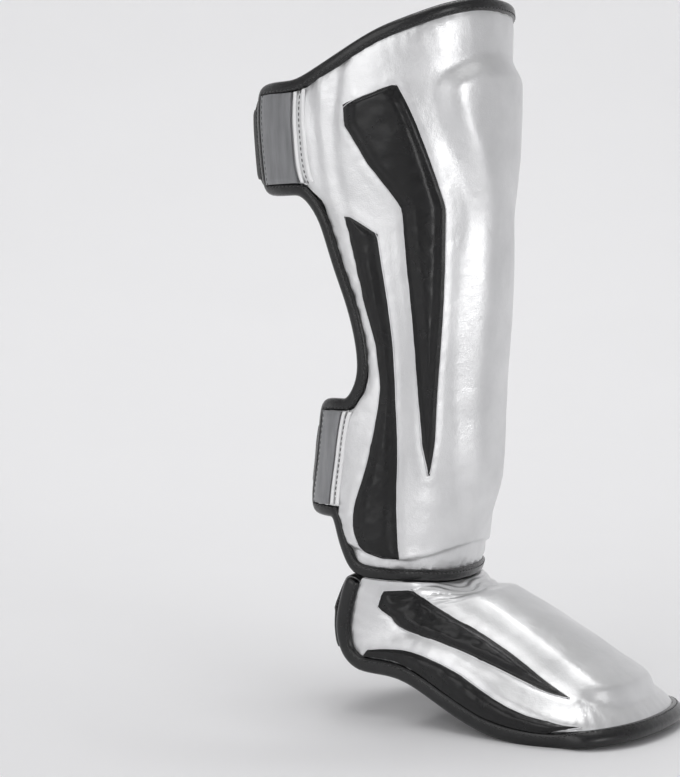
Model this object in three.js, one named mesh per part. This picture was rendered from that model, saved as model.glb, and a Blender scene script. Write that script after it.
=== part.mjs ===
// Kickboxing shin guard, worn on one leg: millimetres, +Z up, +X towards the toes.
// Heights are measured from the floor under the toes, and the origin is on the leg's axis at SEAT_HEIGHT.
// The near side is -Y, which is the wearer's right when the toes point along +X.
import * as THREE from 'three';

// Driving sizes of the shin part
const GUARD_HEIGHT = 461;
const SEAT_HEIGHT = 250;
const CALF_DEPTH = 180;
const CALF_WIDTH = 138;
const SHIN_WALL = 12;
const WING_WALL = 5;
const PAD_RISE = 7;
const PAD_BEVEL = 7;
const PAD_TAPER = 45;

// Driving sizes of the foot part
const FOOT_LENGTH = 176;
const FOOT_WIDTH = 130;
const ANKLE_HEIGHT = 88;
const FOOT_WALL = 8;
const FOOT_PAD_RISE = 5;
const FOOT_PAD_TURN = 37;
const FOOT_PAD_BEVEL = 8;
const FOOT_YAW = 4;

// Trim, panels and straps
const EDGE_WALL = 5.5;
const BINDING_WIDTH = 8.5;
const BINDING_ROLL = 1.1;
const PANEL_THICKNESS = 1.4;
const PANEL_PUFF = 2.2;
const TAB_THICKNESS = 1.5;
const TAB_MARGIN = 1.2;
const STRAP_THICKNESS = 2.4;
const UPPER_STRAP_WIDTH = 46;
const LOWER_STRAP_WIDTH = 40;
const HEEL_STRAP_BOW = 9;
const SOLE_STRAP_WIDTH = 30;
const SOLE_STRAP_BOW = 4;
const TONGUE_THICKNESS = 2.2;
const TONGUE_SPREAD = 52;

// Clearances between pieces that are sewn together
const SEAM_GAP = 0.3;
const LAY_GAP = 0.6;
const ANKLE_GAP = 1.2;
const TOE_GAP = 0.8;

// Roundness of the sections, where 2 is an ellipse and more is squarer, and steepness of the foot's sides
const LEG_ROUNDNESS = 2.2;
const FOOT_ROUNDNESS = 2.3;
const FOOT_SIDE_STEEPNESS = 1.6;

// Stations by which the foot's section has left the ankle's section and has taken its full yaw
const ANKLE_BLEND = 0.1;
const YAW_STATION = 0.5;

// Cross-section of the rolled binding: shares of its width where it is flat, of the wall at its nose
const BINDING_FLAT = 0.6;
const BINDING_NOSE = 0.5;
const SHARPEST_MITRE = 0.88;

// Where the straps meet the foot part
const HEEL_STRAP_ROWS = [1, 4];
const SOLE_STRAP_TURN = 80;
const SOLE_STRAP_STATION = 0.5;
const FOOT_BINDING_START = 0.6;

// Leg sections: height as a share of GUARD_HEIGHT, centre, front and rear of CALF_DEPTH, side of CALF_WIDTH
const LEG_SECTIONS = [
  { height: 0.170, centre: -0.050, front: 0.286, rear: 0.258, side: 0.475 },
  { height: 0.207, centre: -0.044, front: 0.294, rear: 0.270, side: 0.471 },
  { height: 0.283, centre: -0.028, front: 0.312, rear: 0.335, side: 0.460 },
  { height: 0.374, centre: -0.012, front: 0.322, rear: 0.335, side: 0.449 },
  { height: 0.457, centre: -0.025, front: 0.346, rear: 0.305, side: 0.446 },
  { height: 0.587, centre: -0.056, front: 0.402, rear: 0.430, side: 0.453 },
  { height: 0.717, centre: -0.089, front: 0.447, rear: 0.500, side: 0.467 },
  { height: 0.833, centre: -0.114, front: 0.484, rear: 0.510, side: 0.489 },
  { height: 0.913, centre: -0.119, front: 0.492, rear: 0.500, side: 0.500 },
  { height: 1.022, centre: -0.122, front: 0.504, rear: 0.500, side: 0.507 },
];

// Upper and lower outlines by angle from the front: edge heights and pad limits as shares of GUARD_HEIGHT
const LEG_OUTLINE = [
  { angle: 0, top: 1.006, padTop: 0.937, padFoot: 0.240, bottom: 0.191 },
  { angle: 22, top: 1.004, padTop: 0.930, padFoot: 0.236, bottom: 0.192 },
  { angle: 41, top: 0.996, padTop: 0.908, padFoot: 0.228, bottom: 0.196 },
  { angle: 57, top: 0.985, padTop: 0.892, padFoot: 0.224, bottom: 0.198 },
  { angle: 71, top: 0.971, padTop: 0.880, padFoot: 0.228, bottom: 0.200 },
  { angle: 85, top: 0.946, padTop: 0.868, padFoot: 0.236, bottom: 0.203 },
  { angle: 96, top: 0.921, padTop: 0.856, padFoot: 0.244, bottom: 0.206 },
  { angle: 104, top: 0.907, padTop: 0.848, padFoot: 0.250, bottom: 0.208 },
  { angle: 125, top: 0.902, padTop: 0.844, padFoot: 0.250, bottom: 0.208 },
  { angle: 150, top: 0.894, padTop: 0.840, padFoot: 0.250, bottom: 0.208 },
];

// Edges by height: angle of the rear edge, of the wing ends and of the raised pad's side
const LEG_EDGES = [
  { height: 0.206, rear: 90.5, wing: 128, pad: 18 },
  { height: 0.243, rear: 99.0, wing: 130, pad: 18 },
  { height: 0.268, rear: 104.0, wing: 132, pad: 19 },
  { height: 0.290, rear: 108.0, wing: 134, pad: 20 },
  { height: 0.370, rear: 108.0, wing: 132, pad: 28 },
  { height: 0.425, rear: 104.0, wing: 130, pad: 29 },
  { height: 0.450, rear: 96.0, wing: 130, pad: 30 },
  { height: 0.475, rear: 91.5, wing: 130, pad: 30 },
  { height: 0.520, rear: 90.7, wing: 130, pad: 30 },
  { height: 0.580, rear: 93.8, wing: 130, pad: 29 },
  { height: 0.640, rear: 98.2, wing: 130, pad: 28 },
  { height: 0.700, rear: 101.6, wing: 134, pad: 25 },
  { height: 0.728, rear: 104.0, wing: 136, pad: 27 },
  { height: 0.755, rear: 111.0, wing: 137, pad: 31 },
  { height: 0.825, rear: 112.0, wing: 137, pad: 40 },
  { height: 0.880, rear: 111.0, wing: 136, pad: 44 },
  { height: 0.910, rear: 110.0, wing: 135, pad: 44 },
  { height: 1.000, rear: 108.0, wing: 135, pad: 42 },
];

// Heights where the wings begin and end, as shares of GUARD_HEIGHT
const LOWER_WING_FOOT = 0.284;
const LOWER_WING_TOP = 0.448;
const UPPER_WING_FOOT = 0.738;

// Foot sections from the ankle to the toes: x of FOOT_LENGTH, z of ANKLE_HEIGHT, half of FOOT_WIDTH
const FOOT_SECTIONS = [
  { station: 0.00, edgeX: -0.034, edgeZ: 1.040, ridgeX: 0.252, ridgeZ: 0.985, half: 0.496 },
  { station: 0.08, edgeX: -0.060, edgeZ: 0.840, ridgeX: 0.302, ridgeZ: 0.950, half: 0.472 },
  { station: 0.16, edgeX: -0.070, edgeZ: 0.650, ridgeX: 0.353, ridgeZ: 0.915, half: 0.460 },
  { station: 0.24, edgeX: -0.060, edgeZ: 0.520, ridgeX: 0.412, ridgeZ: 0.878, half: 0.458 },
  { station: 0.32, edgeX: -0.018, edgeZ: 0.450, ridgeX: 0.470, ridgeZ: 0.830, half: 0.460 },
  { station: 0.40, edgeX: 0.062, edgeZ: 0.436, ridgeX: 0.532, ridgeZ: 0.772, half: 0.466 },
  { station: 0.48, edgeX: 0.150, edgeZ: 0.415, ridgeX: 0.600, ridgeZ: 0.705, half: 0.474 },
  { station: 0.56, edgeX: 0.240, edgeZ: 0.345, ridgeX: 0.668, ridgeZ: 0.630, half: 0.484 },
  { station: 0.64, edgeX: 0.328, edgeZ: 0.260, ridgeX: 0.735, ridgeZ: 0.550, half: 0.496 },
  { station: 0.72, edgeX: 0.420, edgeZ: 0.182, ridgeX: 0.800, ridgeZ: 0.460, half: 0.508 },
  { station: 0.80, edgeX: 0.528, edgeZ: 0.126, ridgeX: 0.874, ridgeZ: 0.370, half: 0.530 },
  { station: 0.88, edgeX: 0.640, edgeZ: 0.103, ridgeX: 0.938, ridgeZ: 0.290, half: 0.540 },
  { station: 0.94, edgeX: 0.728, edgeZ: 0.098, ridgeX: 0.986, ridgeZ: 0.222, half: 0.540 },
  { station: 1.00, edgeX: 0.812, edgeZ: 0.095, ridgeX: 1.028, ridgeZ: 0.150, half: 0.516 },
];

// Black inlay beside the pad: height of GUARD_HEIGHT, angles of its rear and front sides
const SIDE_FLASH = [
  { height: 0.345, back: 48.2, front: 47.0 },
  { height: 0.389, back: 53.8, front: 44.8 },
  { height: 0.471, back: 56.9, front: 43.3 },
  { height: 0.554, back: 59.5, front: 41.6 },
  { height: 0.637, back: 61.9, front: 40.4 },
  { height: 0.715, back: 63.0, front: 39.7 },
  { height: 0.775, back: 77.3, front: 47.3 },
  { height: 0.831, back: 86.4, front: 54.4 },
  { height: 0.860, back: 86.2, front: 58.6 },
  { height: 0.884, back: 65.5, front: 62.8 },
];

// Black inlay along the rear edge
const REAR_FLASH = [
  { height: 0.228, back: 71.0, front: 60.5 },
  { height: 0.236, back: 83.0, front: 61.3 },
  { height: 0.250, back: 88.5, front: 62.5 },
  { height: 0.272, back: 91.8, front: 64.3 },
  { height: 0.300, back: 92.0, front: 66.1 },
  { height: 0.330, back: 90.0, front: 67.5 },
  { height: 0.387, back: 85.4, front: 68.8 },
  { height: 0.443, back: 80.2, front: 69.4 },
  { height: 0.471, back: 78.5, front: 69.5 },
  { height: 0.526, back: 80.0, front: 70.2 },
  { height: 0.581, back: 84.2, front: 72.0 },
  { height: 0.637, back: 86.8, front: 74.1 },
  { height: 0.680, back: 88.4, front: 75.3 },
  { height: 0.705, back: 89.6, front: 87.4 },
];

// Black inlay on the foot: station along the foot, turn from the ridge towards the side edge
const FOOT_FLASH = [
  { station: 0.065, back: 71, front: 52 },
  { station: 0.12, back: 74, front: 46 },
  { station: 0.20, back: 70, front: 45 },
  { station: 0.28, back: 68.5, front: 44 },
  { station: 0.38, back: 67.5, front: 43.5 },
  { station: 0.48, back: 65.5, front: 43 },
  { station: 0.61, back: 59.5, front: 42.5 },
  { station: 0.71, back: 53.5, front: 42 },
  { station: 0.78, back: 49, front: 41.5 },
  { station: 0.83, back: 42.5, front: 41 },
];

// Black inlay along the lower edge of the foot
const FOOT_CORNER = [
  { station: 0.34, back: 89, front: 87 },
  { station: 0.45, back: 89, front: 82 },
  { station: 0.53, back: 89, front: 79 },
  { station: 0.64, back: 89, front: 74.5 },
  { station: 0.77, back: 89, front: 74 },
  { station: 0.87, back: 89, front: 74 },
  { station: 0.95, back: 89, front: 68 },
  { station: 0.98, back: 89, front: 60 },
];

const LEFT = 1;
const RIGHT = -1;
const SIDES = [
  { name: 'left', sign: LEFT },
  { name: 'right', sign: RIGHT },
];
const HALF_TURN = 180;
const QUARTER_TURN = 90;

// Steps used to measure the surfaces: normals in degrees, millimetres and stations, lengths in degrees
const NORMAL_STEP = 0.4;
const STATION_STEP = 0.01;
const MARCH_STEP = 0.5;
const SETTLING_ROUNDS = 4;

// Cells of the pieces' grids across and along
const PAD_CELLS = 3;
const BEVEL_CELLS = 1;
const SIDE_CELLS = 7;
const WING_CELLS = 3;
const REAR_COLUMN = PAD_CELLS + BEVEL_CELLS + SIDE_CELLS;
const HALF_COLUMNS = REAR_COLUMN + WING_CELLS;
const PANEL_COLUMNS = 4;
const PANEL_SPLITS = 2;
const CALF_STRAP_CELLS = 16;
const CALF_STRAP_ROWS = 2;
const FOOT_STRAP_CELLS = 12;
const TONGUE_COLUMNS = 8;
const FOOT_PAD_CELLS = 3;
const FOOT_SIDE_CELLS = 5;
const FOOT_HALF_COLUMNS = FOOT_PAD_CELLS + BEVEL_CELLS + FOOT_SIDE_CELLS;
const FOOT_ROWS = 16;
const FOOT_PAD_ROWS = [3, 13];

const SILVER = { color: 0xc9cacd, roughness: 0.34, metalness: 0.55 };
const BLACK = { color: 0x121213, roughness: 0.32, metalness: 0.0 };
const SATIN = { color: 0x8f9195, roughness: 0.5, metalness: 0.4 };
const WEBBING = { color: 0x161617, roughness: 0.8, metalness: 0.0 };

const guard = new THREE.Group();
guard.position.z = -SEAT_HEIGHT;

function toRadians(degrees) {
  return (degrees * Math.PI) / HALF_TURN;
}

// Smooth value of a table's column, with slopes from the neighbouring rows
function sample(table, key, column, value) {
  const last = table.length - 1;
  const x = Math.min(Math.max(value, table[0][key]), table[last][key]);
  let i = 0;
  while (i < last - 1 && x > table[i + 1][key]) {
    i += 1;
  }
  const slope = (k) => {
    const before = table[Math.max(k - 1, 0)];
    const after = table[Math.min(k + 1, last)];
    return (after[column] - before[column]) / (after[key] - before[key]);
  };
  const span = table[i + 1][key] - table[i][key];
  const t = (x - table[i][key]) / span;
  const rise = table[i + 1][column] - table[i][column];
  const start = slope(i) * span;
  const end = slope(i + 1) * span;
  const bend = 3 * rise - 2 * start - end;
  const twist = start + end - 2 * rise;
  return table[i][column] + start * t + bend * t ** 2 + twist * t ** 3;
}

function powered(value, exponent) {
  return Math.sign(value) * Math.abs(value) ** exponent;
}

// Outward normal of a surface given by two parameters
function surfaceNormal(surface, u, v, stepU, stepV) {
  const alongU = surface(u + stepU, v).sub(surface(u - stepU, v));
  const alongV = surface(u, v + stepV).sub(surface(u, v - stepV));
  return alongU.cross(alongV).normalize();
}

// Shin surface: angle from the front in degrees, height in millimetres
function legSurface(angle, height) {
  const share = height / GUARD_HEIGHT;
  const turn = toRadians(angle);
  const forward = Math.cos(turn);
  const reach = forward >= 0 ? 'front' : 'rear';
  const depth = sample(LEG_SECTIONS, 'height', reach, share) * CALF_DEPTH;
  const centre = sample(LEG_SECTIONS, 'height', 'centre', share) * CALF_DEPTH;
  const side = sample(LEG_SECTIONS, 'height', 'side', share) * CALF_WIDTH;
  const exponent = 2 / LEG_ROUNDNESS;
  return new THREE.Vector3(
    centre + depth * powered(forward, exponent),
    side * powered(Math.sin(turn), exponent),
    height,
  );
}

function legPoint(angle, height, depth) {
  const normal = surfaceNormal(legSurface, angle, height, NORMAL_STEP, NORMAL_STEP);
  return legSurface(angle, height).addScaledVector(normal, depth);
}

// Angle that a length along the skin spans
function angleOf(length) {
  return THREE.MathUtils.radToDeg(length / (CALF_WIDTH / 2));
}

// Angle reached by going a length along the skin at one height, backwards from the front
function angleAfter(angle, height, length) {
  let turn = angle;
  let travelled = 0;
  while (travelled < length) {
    travelled += legSurface(turn, height).distanceTo(legSurface(turn + MARCH_STEP, height));
    turn += MARCH_STEP;
  }
  return turn;
}

function outlineHeight(angle, column) {
  return sample(LEG_OUTLINE, 'angle', column, Math.abs(angle)) * GUARD_HEIGHT;
}

function edgeAngle(height, column) {
  return sample(LEG_EDGES, 'height', column, height / GUARD_HEIGHT);
}

// Closed wall over the cells of a grid: place(i, j, outside) gives each corner on the outer or inner face
function wallGeometry(columns, rows, present, place) {
  const positions = [];
  const index = [];
  const numbers = new Map();
  const vertex = (i, j, outside) => {
    const key = `${i} ${j} ${outside}`;
    if (!numbers.has(key)) {
      numbers.set(key, positions.length / 3);
      positions.push(...place(i, j, outside).toArray());
    }
    return numbers.get(key);
  };
  const quad = (a, b, c, d) => index.push(a, b, c, a, c, d);
  const filled = (i, j) => i >= 0 && j >= 0 && i < columns && j < rows && present(i, j);
  const edges = new Map();
  const rim = (from, to) => {
    quad(vertex(...from, true), vertex(...from, false), vertex(...to, false), vertex(...to, true));
    edges.set(from.join(' '), to);
  };
  for (let j = 0; j < rows; j += 1) {
    for (let i = 0; i < columns; i += 1) {
      if (!filled(i, j)) {
        continue;
      }
      const corners = [[i, j], [i + 1, j], [i + 1, j + 1], [i, j + 1]];
      quad(...corners.map((corner) => vertex(...corner, true)));
      quad(...corners.map((corner) => vertex(...corner, false)).reverse());
      const open = [!filled(i, j - 1), !filled(i + 1, j), !filled(i, j + 1), !filled(i - 1, j)];
      open.forEach((isOpen, side) => {
        if (isOpen) {
          rim(corners[side], corners[(side + 1) % corners.length]);
        }
      });
    }
  }
  const geometry = new THREE.BufferGeometry();
  geometry.setAttribute('position', new THREE.Float32BufferAttribute(positions, 3));
  geometry.setIndex(index);
  geometry.computeVertexNormals();
  return { geometry, edges };
}

// Ordered corners of a wall's rim, as a closed loop from a given corner
function rimLoop(edges, start) {
  const loop = [start];
  let corner = edges.get(start.join(' '));
  while (corner.join(' ') !== start.join(' ')) {
    loop.push(corner);
    corner = edges.get(corner.join(' '));
  }
  return loop;
}

// Rolled edge: a strip with a rounded outer side that follows a wall's rim
function bindingGeometry(loop, place, closed, gap) {
  const count = loop.length;
  const outer = loop.map(([i, j]) => place(i, j, true));
  const inner = loop.map(([i, j]) => place(i, j, false));
  const middle = outer.map((point, k) => point.clone().lerp(inner[k], 0.5));
  const at = (k) => (closed ? (k + count) % count : Math.min(Math.max(k, 0), count - 1));
  const rings = middle.map((point, k) => {
    const normal = outer[k].clone().sub(inner[k]);
    const half = normal.length() / 2;
    normal.normalize();
    const before = point.clone().sub(middle[at(k - 1)]).normalize();
    const after = middle[at(k + 1)].clone().sub(point).normalize();
    const along = before.clone().add(after).normalize();
    const away = along.clone().cross(normal).normalize();
    const mitre = 1 / Math.max(before.dot(along) || 1, SHARPEST_MITRE);
    const proud = half + BINDING_ROLL;
    const profile = [
      [gap, -proud],
      [BINDING_WIDTH * BINDING_FLAT, -proud],
      [BINDING_WIDTH, -half * BINDING_NOSE],
      [BINDING_WIDTH, half * BINDING_NOSE],
      [BINDING_WIDTH * BINDING_FLAT, proud],
      [gap, proud],
    ];
    const shifted = ([x, y]) => point.clone().addScaledVector(away, x * mitre).addScaledVector(normal, y);
    return profile.map(shifted);
  });
  return ringsGeometry(rings, closed);
}

// Closed body through rings of points, joined end to end or capped
function ringsGeometry(rings, closed) {
  const size = rings[0].length;
  const positions = rings.flat().flatMap((point) => point.toArray());
  const index = [];
  const spans = closed ? rings.length : rings.length - 1;
  for (let k = 0; k < spans; k += 1) {
    const next = (k + 1) % rings.length;
    for (let m = 0; m < size; m += 1) {
      const a = k * size + m;
      const b = k * size + ((m + 1) % size);
      const c = next * size + ((m + 1) % size);
      const d = next * size + m;
      index.push(a, c, b, a, d, c);
    }
  }
  if (!closed) {
    const last = (rings.length - 1) * size;
    for (let m = 1; m < size - 1; m += 1) {
      index.push(0, m, m + 1);
      index.push(last, last + m + 1, last + m);
    }
  }
  const geometry = new THREE.BufferGeometry();
  geometry.setAttribute('position', new THREE.Float32BufferAttribute(positions, 3));
  geometry.setIndex(index);
  geometry.computeVertexNormals();
  return geometry;
}

function addPiece(name, geometry, finish) {
  const mesh = new THREE.Mesh(geometry, new THREE.MeshStandardMaterial(finish));
  mesh.name = name;
  guard.add(mesh);
}

// Rows of the shin wall: bands between the named heights, with the number of cells in each
const ROW_BANDS = [
  { from: 'bottom', to: 'padFoot', cells: 1 },
  { from: 'padFoot', to: 'padRound', cells: 1 },
  { from: 'padRound', to: 'lowerWingFoot', cells: 1 },
  { from: 'lowerWingFoot', to: 'lowerWingTop', cells: 5 },
  { from: 'lowerWingTop', to: 'upperWingFoot', cells: 8 },
  { from: 'upperWingFoot', to: 'padShoulder', cells: 4 },
  { from: 'padShoulder', to: 'padTop', cells: 1 },
  { from: 'padTop', to: 'top', cells: 2 },
];
const SHIN_ROWS = ROW_BANDS.reduce((sum, band) => sum + band.cells, 0);
const PAD_FIRST_ROW = rowAt('padRound');
const PAD_LAST_ROW = rowAt('padShoulder');
const LOWER_WING_ROWS = [rowAt('lowerWingFoot'), rowAt('lowerWingTop')];
const UPPER_WING_FIRST_ROW = rowAt('upperWingFoot');

// Row at which the band that starts at a named height begins
function rowAt(name) {
  const index = ROW_BANDS.findIndex((band) => band.from === name);
  return ROW_BANDS.slice(0, index).reduce((sum, band) => sum + band.cells, 0);
}

function bandHeight(name, angle) {
  const heights = {
    bottom: outlineHeight(angle, 'bottom') + BINDING_WIDTH,
    padFoot: outlineHeight(angle, 'padFoot'),
    padRound: outlineHeight(angle, 'padFoot') + PAD_BEVEL,
    lowerWingFoot: LOWER_WING_FOOT * GUARD_HEIGHT + BINDING_WIDTH,
    lowerWingTop: LOWER_WING_TOP * GUARD_HEIGHT - BINDING_WIDTH,
    upperWingFoot: UPPER_WING_FOOT * GUARD_HEIGHT + BINDING_WIDTH,
    padShoulder: outlineHeight(angle, 'padTop') - PAD_BEVEL,
    padTop: outlineHeight(angle, 'padTop'),
    top: outlineHeight(angle, 'top') - BINDING_WIDTH,
  };
  return heights[name];
}

function shinHeight(row, angle) {
  let first = 0;
  let index = 0;
  while (index < ROW_BANDS.length - 1 && row >= first + ROW_BANDS[index].cells) {
    first += ROW_BANDS[index].cells;
    index += 1;
  }
  const band = ROW_BANDS[index];
  const t = (row - first) / band.cells;
  return THREE.MathUtils.lerp(bandHeight(band.from, angle), bandHeight(band.to, angle), t);
}

// Angle of a column at a height: pad, bevel, side up to the rear edge, then the wing
function shinAngle(column, height) {
  const steps = Math.abs(column - HALF_COLUMNS);
  const sign = Math.sign(column - HALF_COLUMNS);
  const pad = edgeAngle(height, 'pad');
  const flat = pad - angleOf(PAD_BEVEL);
  const rear = edgeAngle(height, 'rear') - angleOf(BINDING_WIDTH);
  const wing = edgeAngle(height, 'wing') - angleOf(BINDING_WIDTH);
  if (steps <= PAD_CELLS) {
    return (sign * flat * steps) / PAD_CELLS;
  }
  if (steps <= PAD_CELLS + BEVEL_CELLS) {
    return sign * THREE.MathUtils.lerp(flat, pad, (steps - PAD_CELLS) / BEVEL_CELLS);
  }
  if (steps <= REAR_COLUMN) {
    return sign * THREE.MathUtils.lerp(pad, rear, (steps - PAD_CELLS - BEVEL_CELLS) / SIDE_CELLS);
  }
  return sign * THREE.MathUtils.lerp(rear, wing, (steps - REAR_COLUMN) / WING_CELLS);
}

// The row's height and the column's angle depend on each other, so they are settled in a few rounds
function shinPlace(column, row) {
  let angle = 0;
  let height = 0;
  for (let round = 0; round < SETTLING_ROUNDS; round += 1) {
    height = shinHeight(row, angle);
    angle = shinAngle(column, height);
  }
  return { angle, height };
}

function shinPresent(column, row) {
  const cell = Math.min(column, 2 * HALF_COLUMNS - 1 - column);
  if (cell >= WING_CELLS) {
    return true;
  }
  const inLowerWing = row >= LOWER_WING_ROWS[0] && row < LOWER_WING_ROWS[1];
  return inLowerWing || row >= UPPER_WING_FIRST_ROW;
}

// Wall thickness: full inside, thinner in the wings and along the edges
function shinThickness(column, row) {
  const steps = Math.abs(column - HALF_COLUMNS);
  if (steps >= REAR_COLUMN) {
    return WING_WALL;
  }
  const fromEdge = Math.min(row, SHIN_ROWS - row, REAR_COLUMN - steps);
  const full = Math.min(fromEdge / 2, 1);
  return THREE.MathUtils.lerp(EDGE_WALL, SHIN_WALL, full);
}

function shinCorner(column, row, outside) {
  const { angle, height } = shinPlace(column, row);
  const steps = Math.abs(column - HALF_COLUMNS);
  const onPad = steps <= PAD_CELLS && row >= PAD_FIRST_ROW && row <= PAD_LAST_ROW;
  const taper = Math.min((height - outlineHeight(angle, 'padFoot')) / PAD_TAPER, 1);
  const relief = onPad ? PAD_RISE * taper : 0;
  return legPoint(angle, height, outside ? relief : -shinThickness(column, row));
}

// Shin wall with its raised pad and four wings, and the rolled binding round it
function addShinPart() {
  const wall = wallGeometry(2 * HALF_COLUMNS, SHIN_ROWS, shinPresent, shinCorner);
  addPiece('shin_shell', wall.geometry, SILVER);
  const loop = rimLoop(wall.edges, [WING_CELLS, 0]);
  addPiece('shin_binding', bindingGeometry(loop, shinCorner, true, SEAM_GAP), BLACK);
}

// Puffed inlay: rows from a table, a thin border and a raised middle, lying on a surface
function panelGeometry(table, key, point, sign, lengthwise) {
  const rows = (table.length - 1) * PANEL_SPLITS;
  const place = (i, j, outside) => {
    const before = table[Math.floor(j / PANEL_SPLITS)];
    const after = table[Math.ceil(j / PANEL_SPLITS)];
    const t = (j % PANEL_SPLITS) / PANEL_SPLITS;
    const read = (column) => THREE.MathUtils.lerp(before[column], after[column], t);
    const turn = THREE.MathUtils.lerp(read('back'), read('front'), i / PANEL_COLUMNS);
    const middle = i > 0 && i < PANEL_COLUMNS && j > 0 && j < rows;
    const rise = PANEL_THICKNESS + (middle ? PANEL_PUFF : 0);
    return point(sign * turn, read(key) * lengthwise, LAY_GAP + (outside ? rise : 0));
  };
  const mirrored = (i, j, outside) => place(PANEL_COLUMNS - i, j, outside);
  return wallGeometry(PANEL_COLUMNS, rows, () => true, sign < 0 ? place : mirrored).geometry;
}

function addShinPanels() {
  for (const side of SIDES) {
    const main = panelGeometry(SIDE_FLASH, 'height', legPoint, side.sign, GUARD_HEIGHT);
    addPiece(`side_flash_${side.name}`, main, BLACK);
    const rear = panelGeometry(REAR_FLASH, 'height', legPoint, side.sign, GUARD_HEIGHT);
    addPiece(`rear_flash_${side.name}`, rear, BLACK);
  }
}

// Satin end panel on a wing, between the seam and the wing's end
function tabGeometry(sign, firstRow, lastRow) {
  const place = (i, j, outside) => {
    const column = HALF_COLUMNS + sign * (REAR_COLUMN + i);
    const { angle, height } = shinPlace(column, firstRow + j);
    const inset = angleOf(TAB_MARGIN);
    const turn = Math.abs(angle) + (i === 0 ? inset : 0) - (i === WING_CELLS ? inset : 0);
    const lift = (j === 0 ? TAB_MARGIN : 0) - (j === lastRow - firstRow ? TAB_MARGIN : 0);
    return legPoint(sign * turn, height + lift, LAY_GAP + (outside ? TAB_THICKNESS : 0));
  };
  const mirrored = (i, j, outside) => place(WING_CELLS - i, j, outside);
  return wallGeometry(WING_CELLS, lastRow - firstRow, () => true, sign > 0 ? place : mirrored).geometry;
}

// Strap round the calf between the ends of two wings
function calfStrapGeometry(middleHeight, width) {
  const place = (i, j, outside) => {
    const height = middleHeight + (j / CALF_STRAP_ROWS - 0.5) * width;
    const wingEnd = edgeAngle(height, 'wing') - angleOf(BINDING_WIDTH);
    const start = angleAfter(wingEnd, height, BINDING_WIDTH + BINDING_ROLL + SEAM_GAP);
    const angle = THREE.MathUtils.lerp(start, 2 * HALF_TURN - start, i / CALF_STRAP_CELLS);
    const middle = -WING_WALL / 2;
    return legPoint(angle, height, middle + (outside ? 0.5 : -0.5) * STRAP_THICKNESS);
  };
  return wallGeometry(CALF_STRAP_CELLS, CALF_STRAP_ROWS, () => true, place).geometry;
}

function addWingPieces() {
  for (const side of SIDES) {
    addPiece(`upper_tab_${side.name}`, tabGeometry(side.sign, UPPER_WING_FIRST_ROW, SHIN_ROWS), SATIN);
    addPiece(`lower_tab_${side.name}`, tabGeometry(side.sign, ...LOWER_WING_ROWS), SATIN);
  }
  const upperMiddle = (bandHeight('upperWingFoot', HALF_TURN) + bandHeight('top', HALF_TURN)) / 2;
  addPiece('upper_calf_strap', calfStrapGeometry(upperMiddle, UPPER_STRAP_WIDTH), WEBBING);
  const lowerMiddle = (bandHeight('lowerWingFoot', 0) + bandHeight('lowerWingTop', 0)) / 2;
  addPiece('lower_calf_strap', calfStrapGeometry(lowerMiddle, LOWER_STRAP_WIDTH), WEBBING);
}

// Foot surface: station from the ankle (0) to the toe edge (1), turn from the ridge (0) to a side edge (90)
function ankleTurn(turn) {
  const height = outlineHeight(QUARTER_TURN, 'bottom');
  return (turn / QUARTER_TURN) * (edgeAngle(height, 'rear') - angleOf(BINDING_WIDTH));
}

function footSurface(turn, station) {
  const read = (column) => sample(FOOT_SECTIONS, 'station', column, station);
  const exponent = 2 / FOOT_ROUNDNESS;
  const sweep = Math.cos(toRadians(turn));
  const rise = powered(sweep, exponent / FOOT_SIDE_STEEPNESS);
  const spread = powered(Math.sin(toRadians(turn)), exponent);
  const section = new THREE.Vector3(
    THREE.MathUtils.lerp(read('edgeX'), read('ridgeX'), sweep) * FOOT_LENGTH,
    read('half') * FOOT_WIDTH * spread,
    THREE.MathUtils.lerp(read('edgeZ'), read('ridgeZ'), rise) * ANKLE_HEIGHT,
  );
  const yaw = toRadians(-FOOT_YAW) * Math.min(station / YAW_STATION, 1);
  section.applyAxisAngle(new THREE.Vector3(0, 0, 1), yaw);
  const angle = ankleTurn(turn);
  const ankle = legSurface(angle, outlineHeight(angle, 'bottom') - ANKLE_GAP);
  const blend = Math.min(station / ANKLE_BLEND, 1);
  return ankle.lerp(section, blend);
}

function footPoint(turn, station, depth) {
  const normal = surfaceNormal(
    (v, u) => footSurface(v, Math.min(Math.max(u, 0), 1)),
    turn,
    station,
    NORMAL_STEP,
    -STATION_STEP,
  );
  return footSurface(turn, station).addScaledVector(normal, depth);
}

// Turn of a column of the foot wall: pad, bevel, then the side down to the edge
function footTurn(column) {
  const steps = Math.abs(column - FOOT_HALF_COLUMNS);
  const sign = Math.sign(FOOT_HALF_COLUMNS - column);
  const flat = FOOT_PAD_TURN - FOOT_PAD_BEVEL;
  if (steps <= FOOT_PAD_CELLS) {
    return (sign * flat * steps) / FOOT_PAD_CELLS;
  }
  const along = (steps - FOOT_PAD_CELLS - BEVEL_CELLS) / FOOT_SIDE_CELLS;
  return sign * THREE.MathUtils.lerp(FOOT_PAD_TURN, QUARTER_TURN, along);
}

// Corner of the foot wall, whose top edge is cut level
function footCorner(column, row, outside) {
  const steps = column - FOOT_HALF_COLUMNS;
  const turn = footTurn(column);
  const station = row / FOOT_ROWS;
  const isEdge = Math.abs(steps) === FOOT_HALF_COLUMNS || row === 0 || row === FOOT_ROWS;
  const onPad = Math.abs(steps) <= FOOT_PAD_CELLS && row >= FOOT_PAD_ROWS[0] && row <= FOOT_PAD_ROWS[1];
  const thickness = isEdge ? EDGE_WALL : FOOT_WALL;
  const relief = onPad ? FOOT_PAD_RISE : 0;
  const point = footPoint(turn, station, outside ? relief : -thickness);
  if (row === 0) {
    point.z = footSurface(turn, station).z;
  }
  return point;
}

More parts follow.
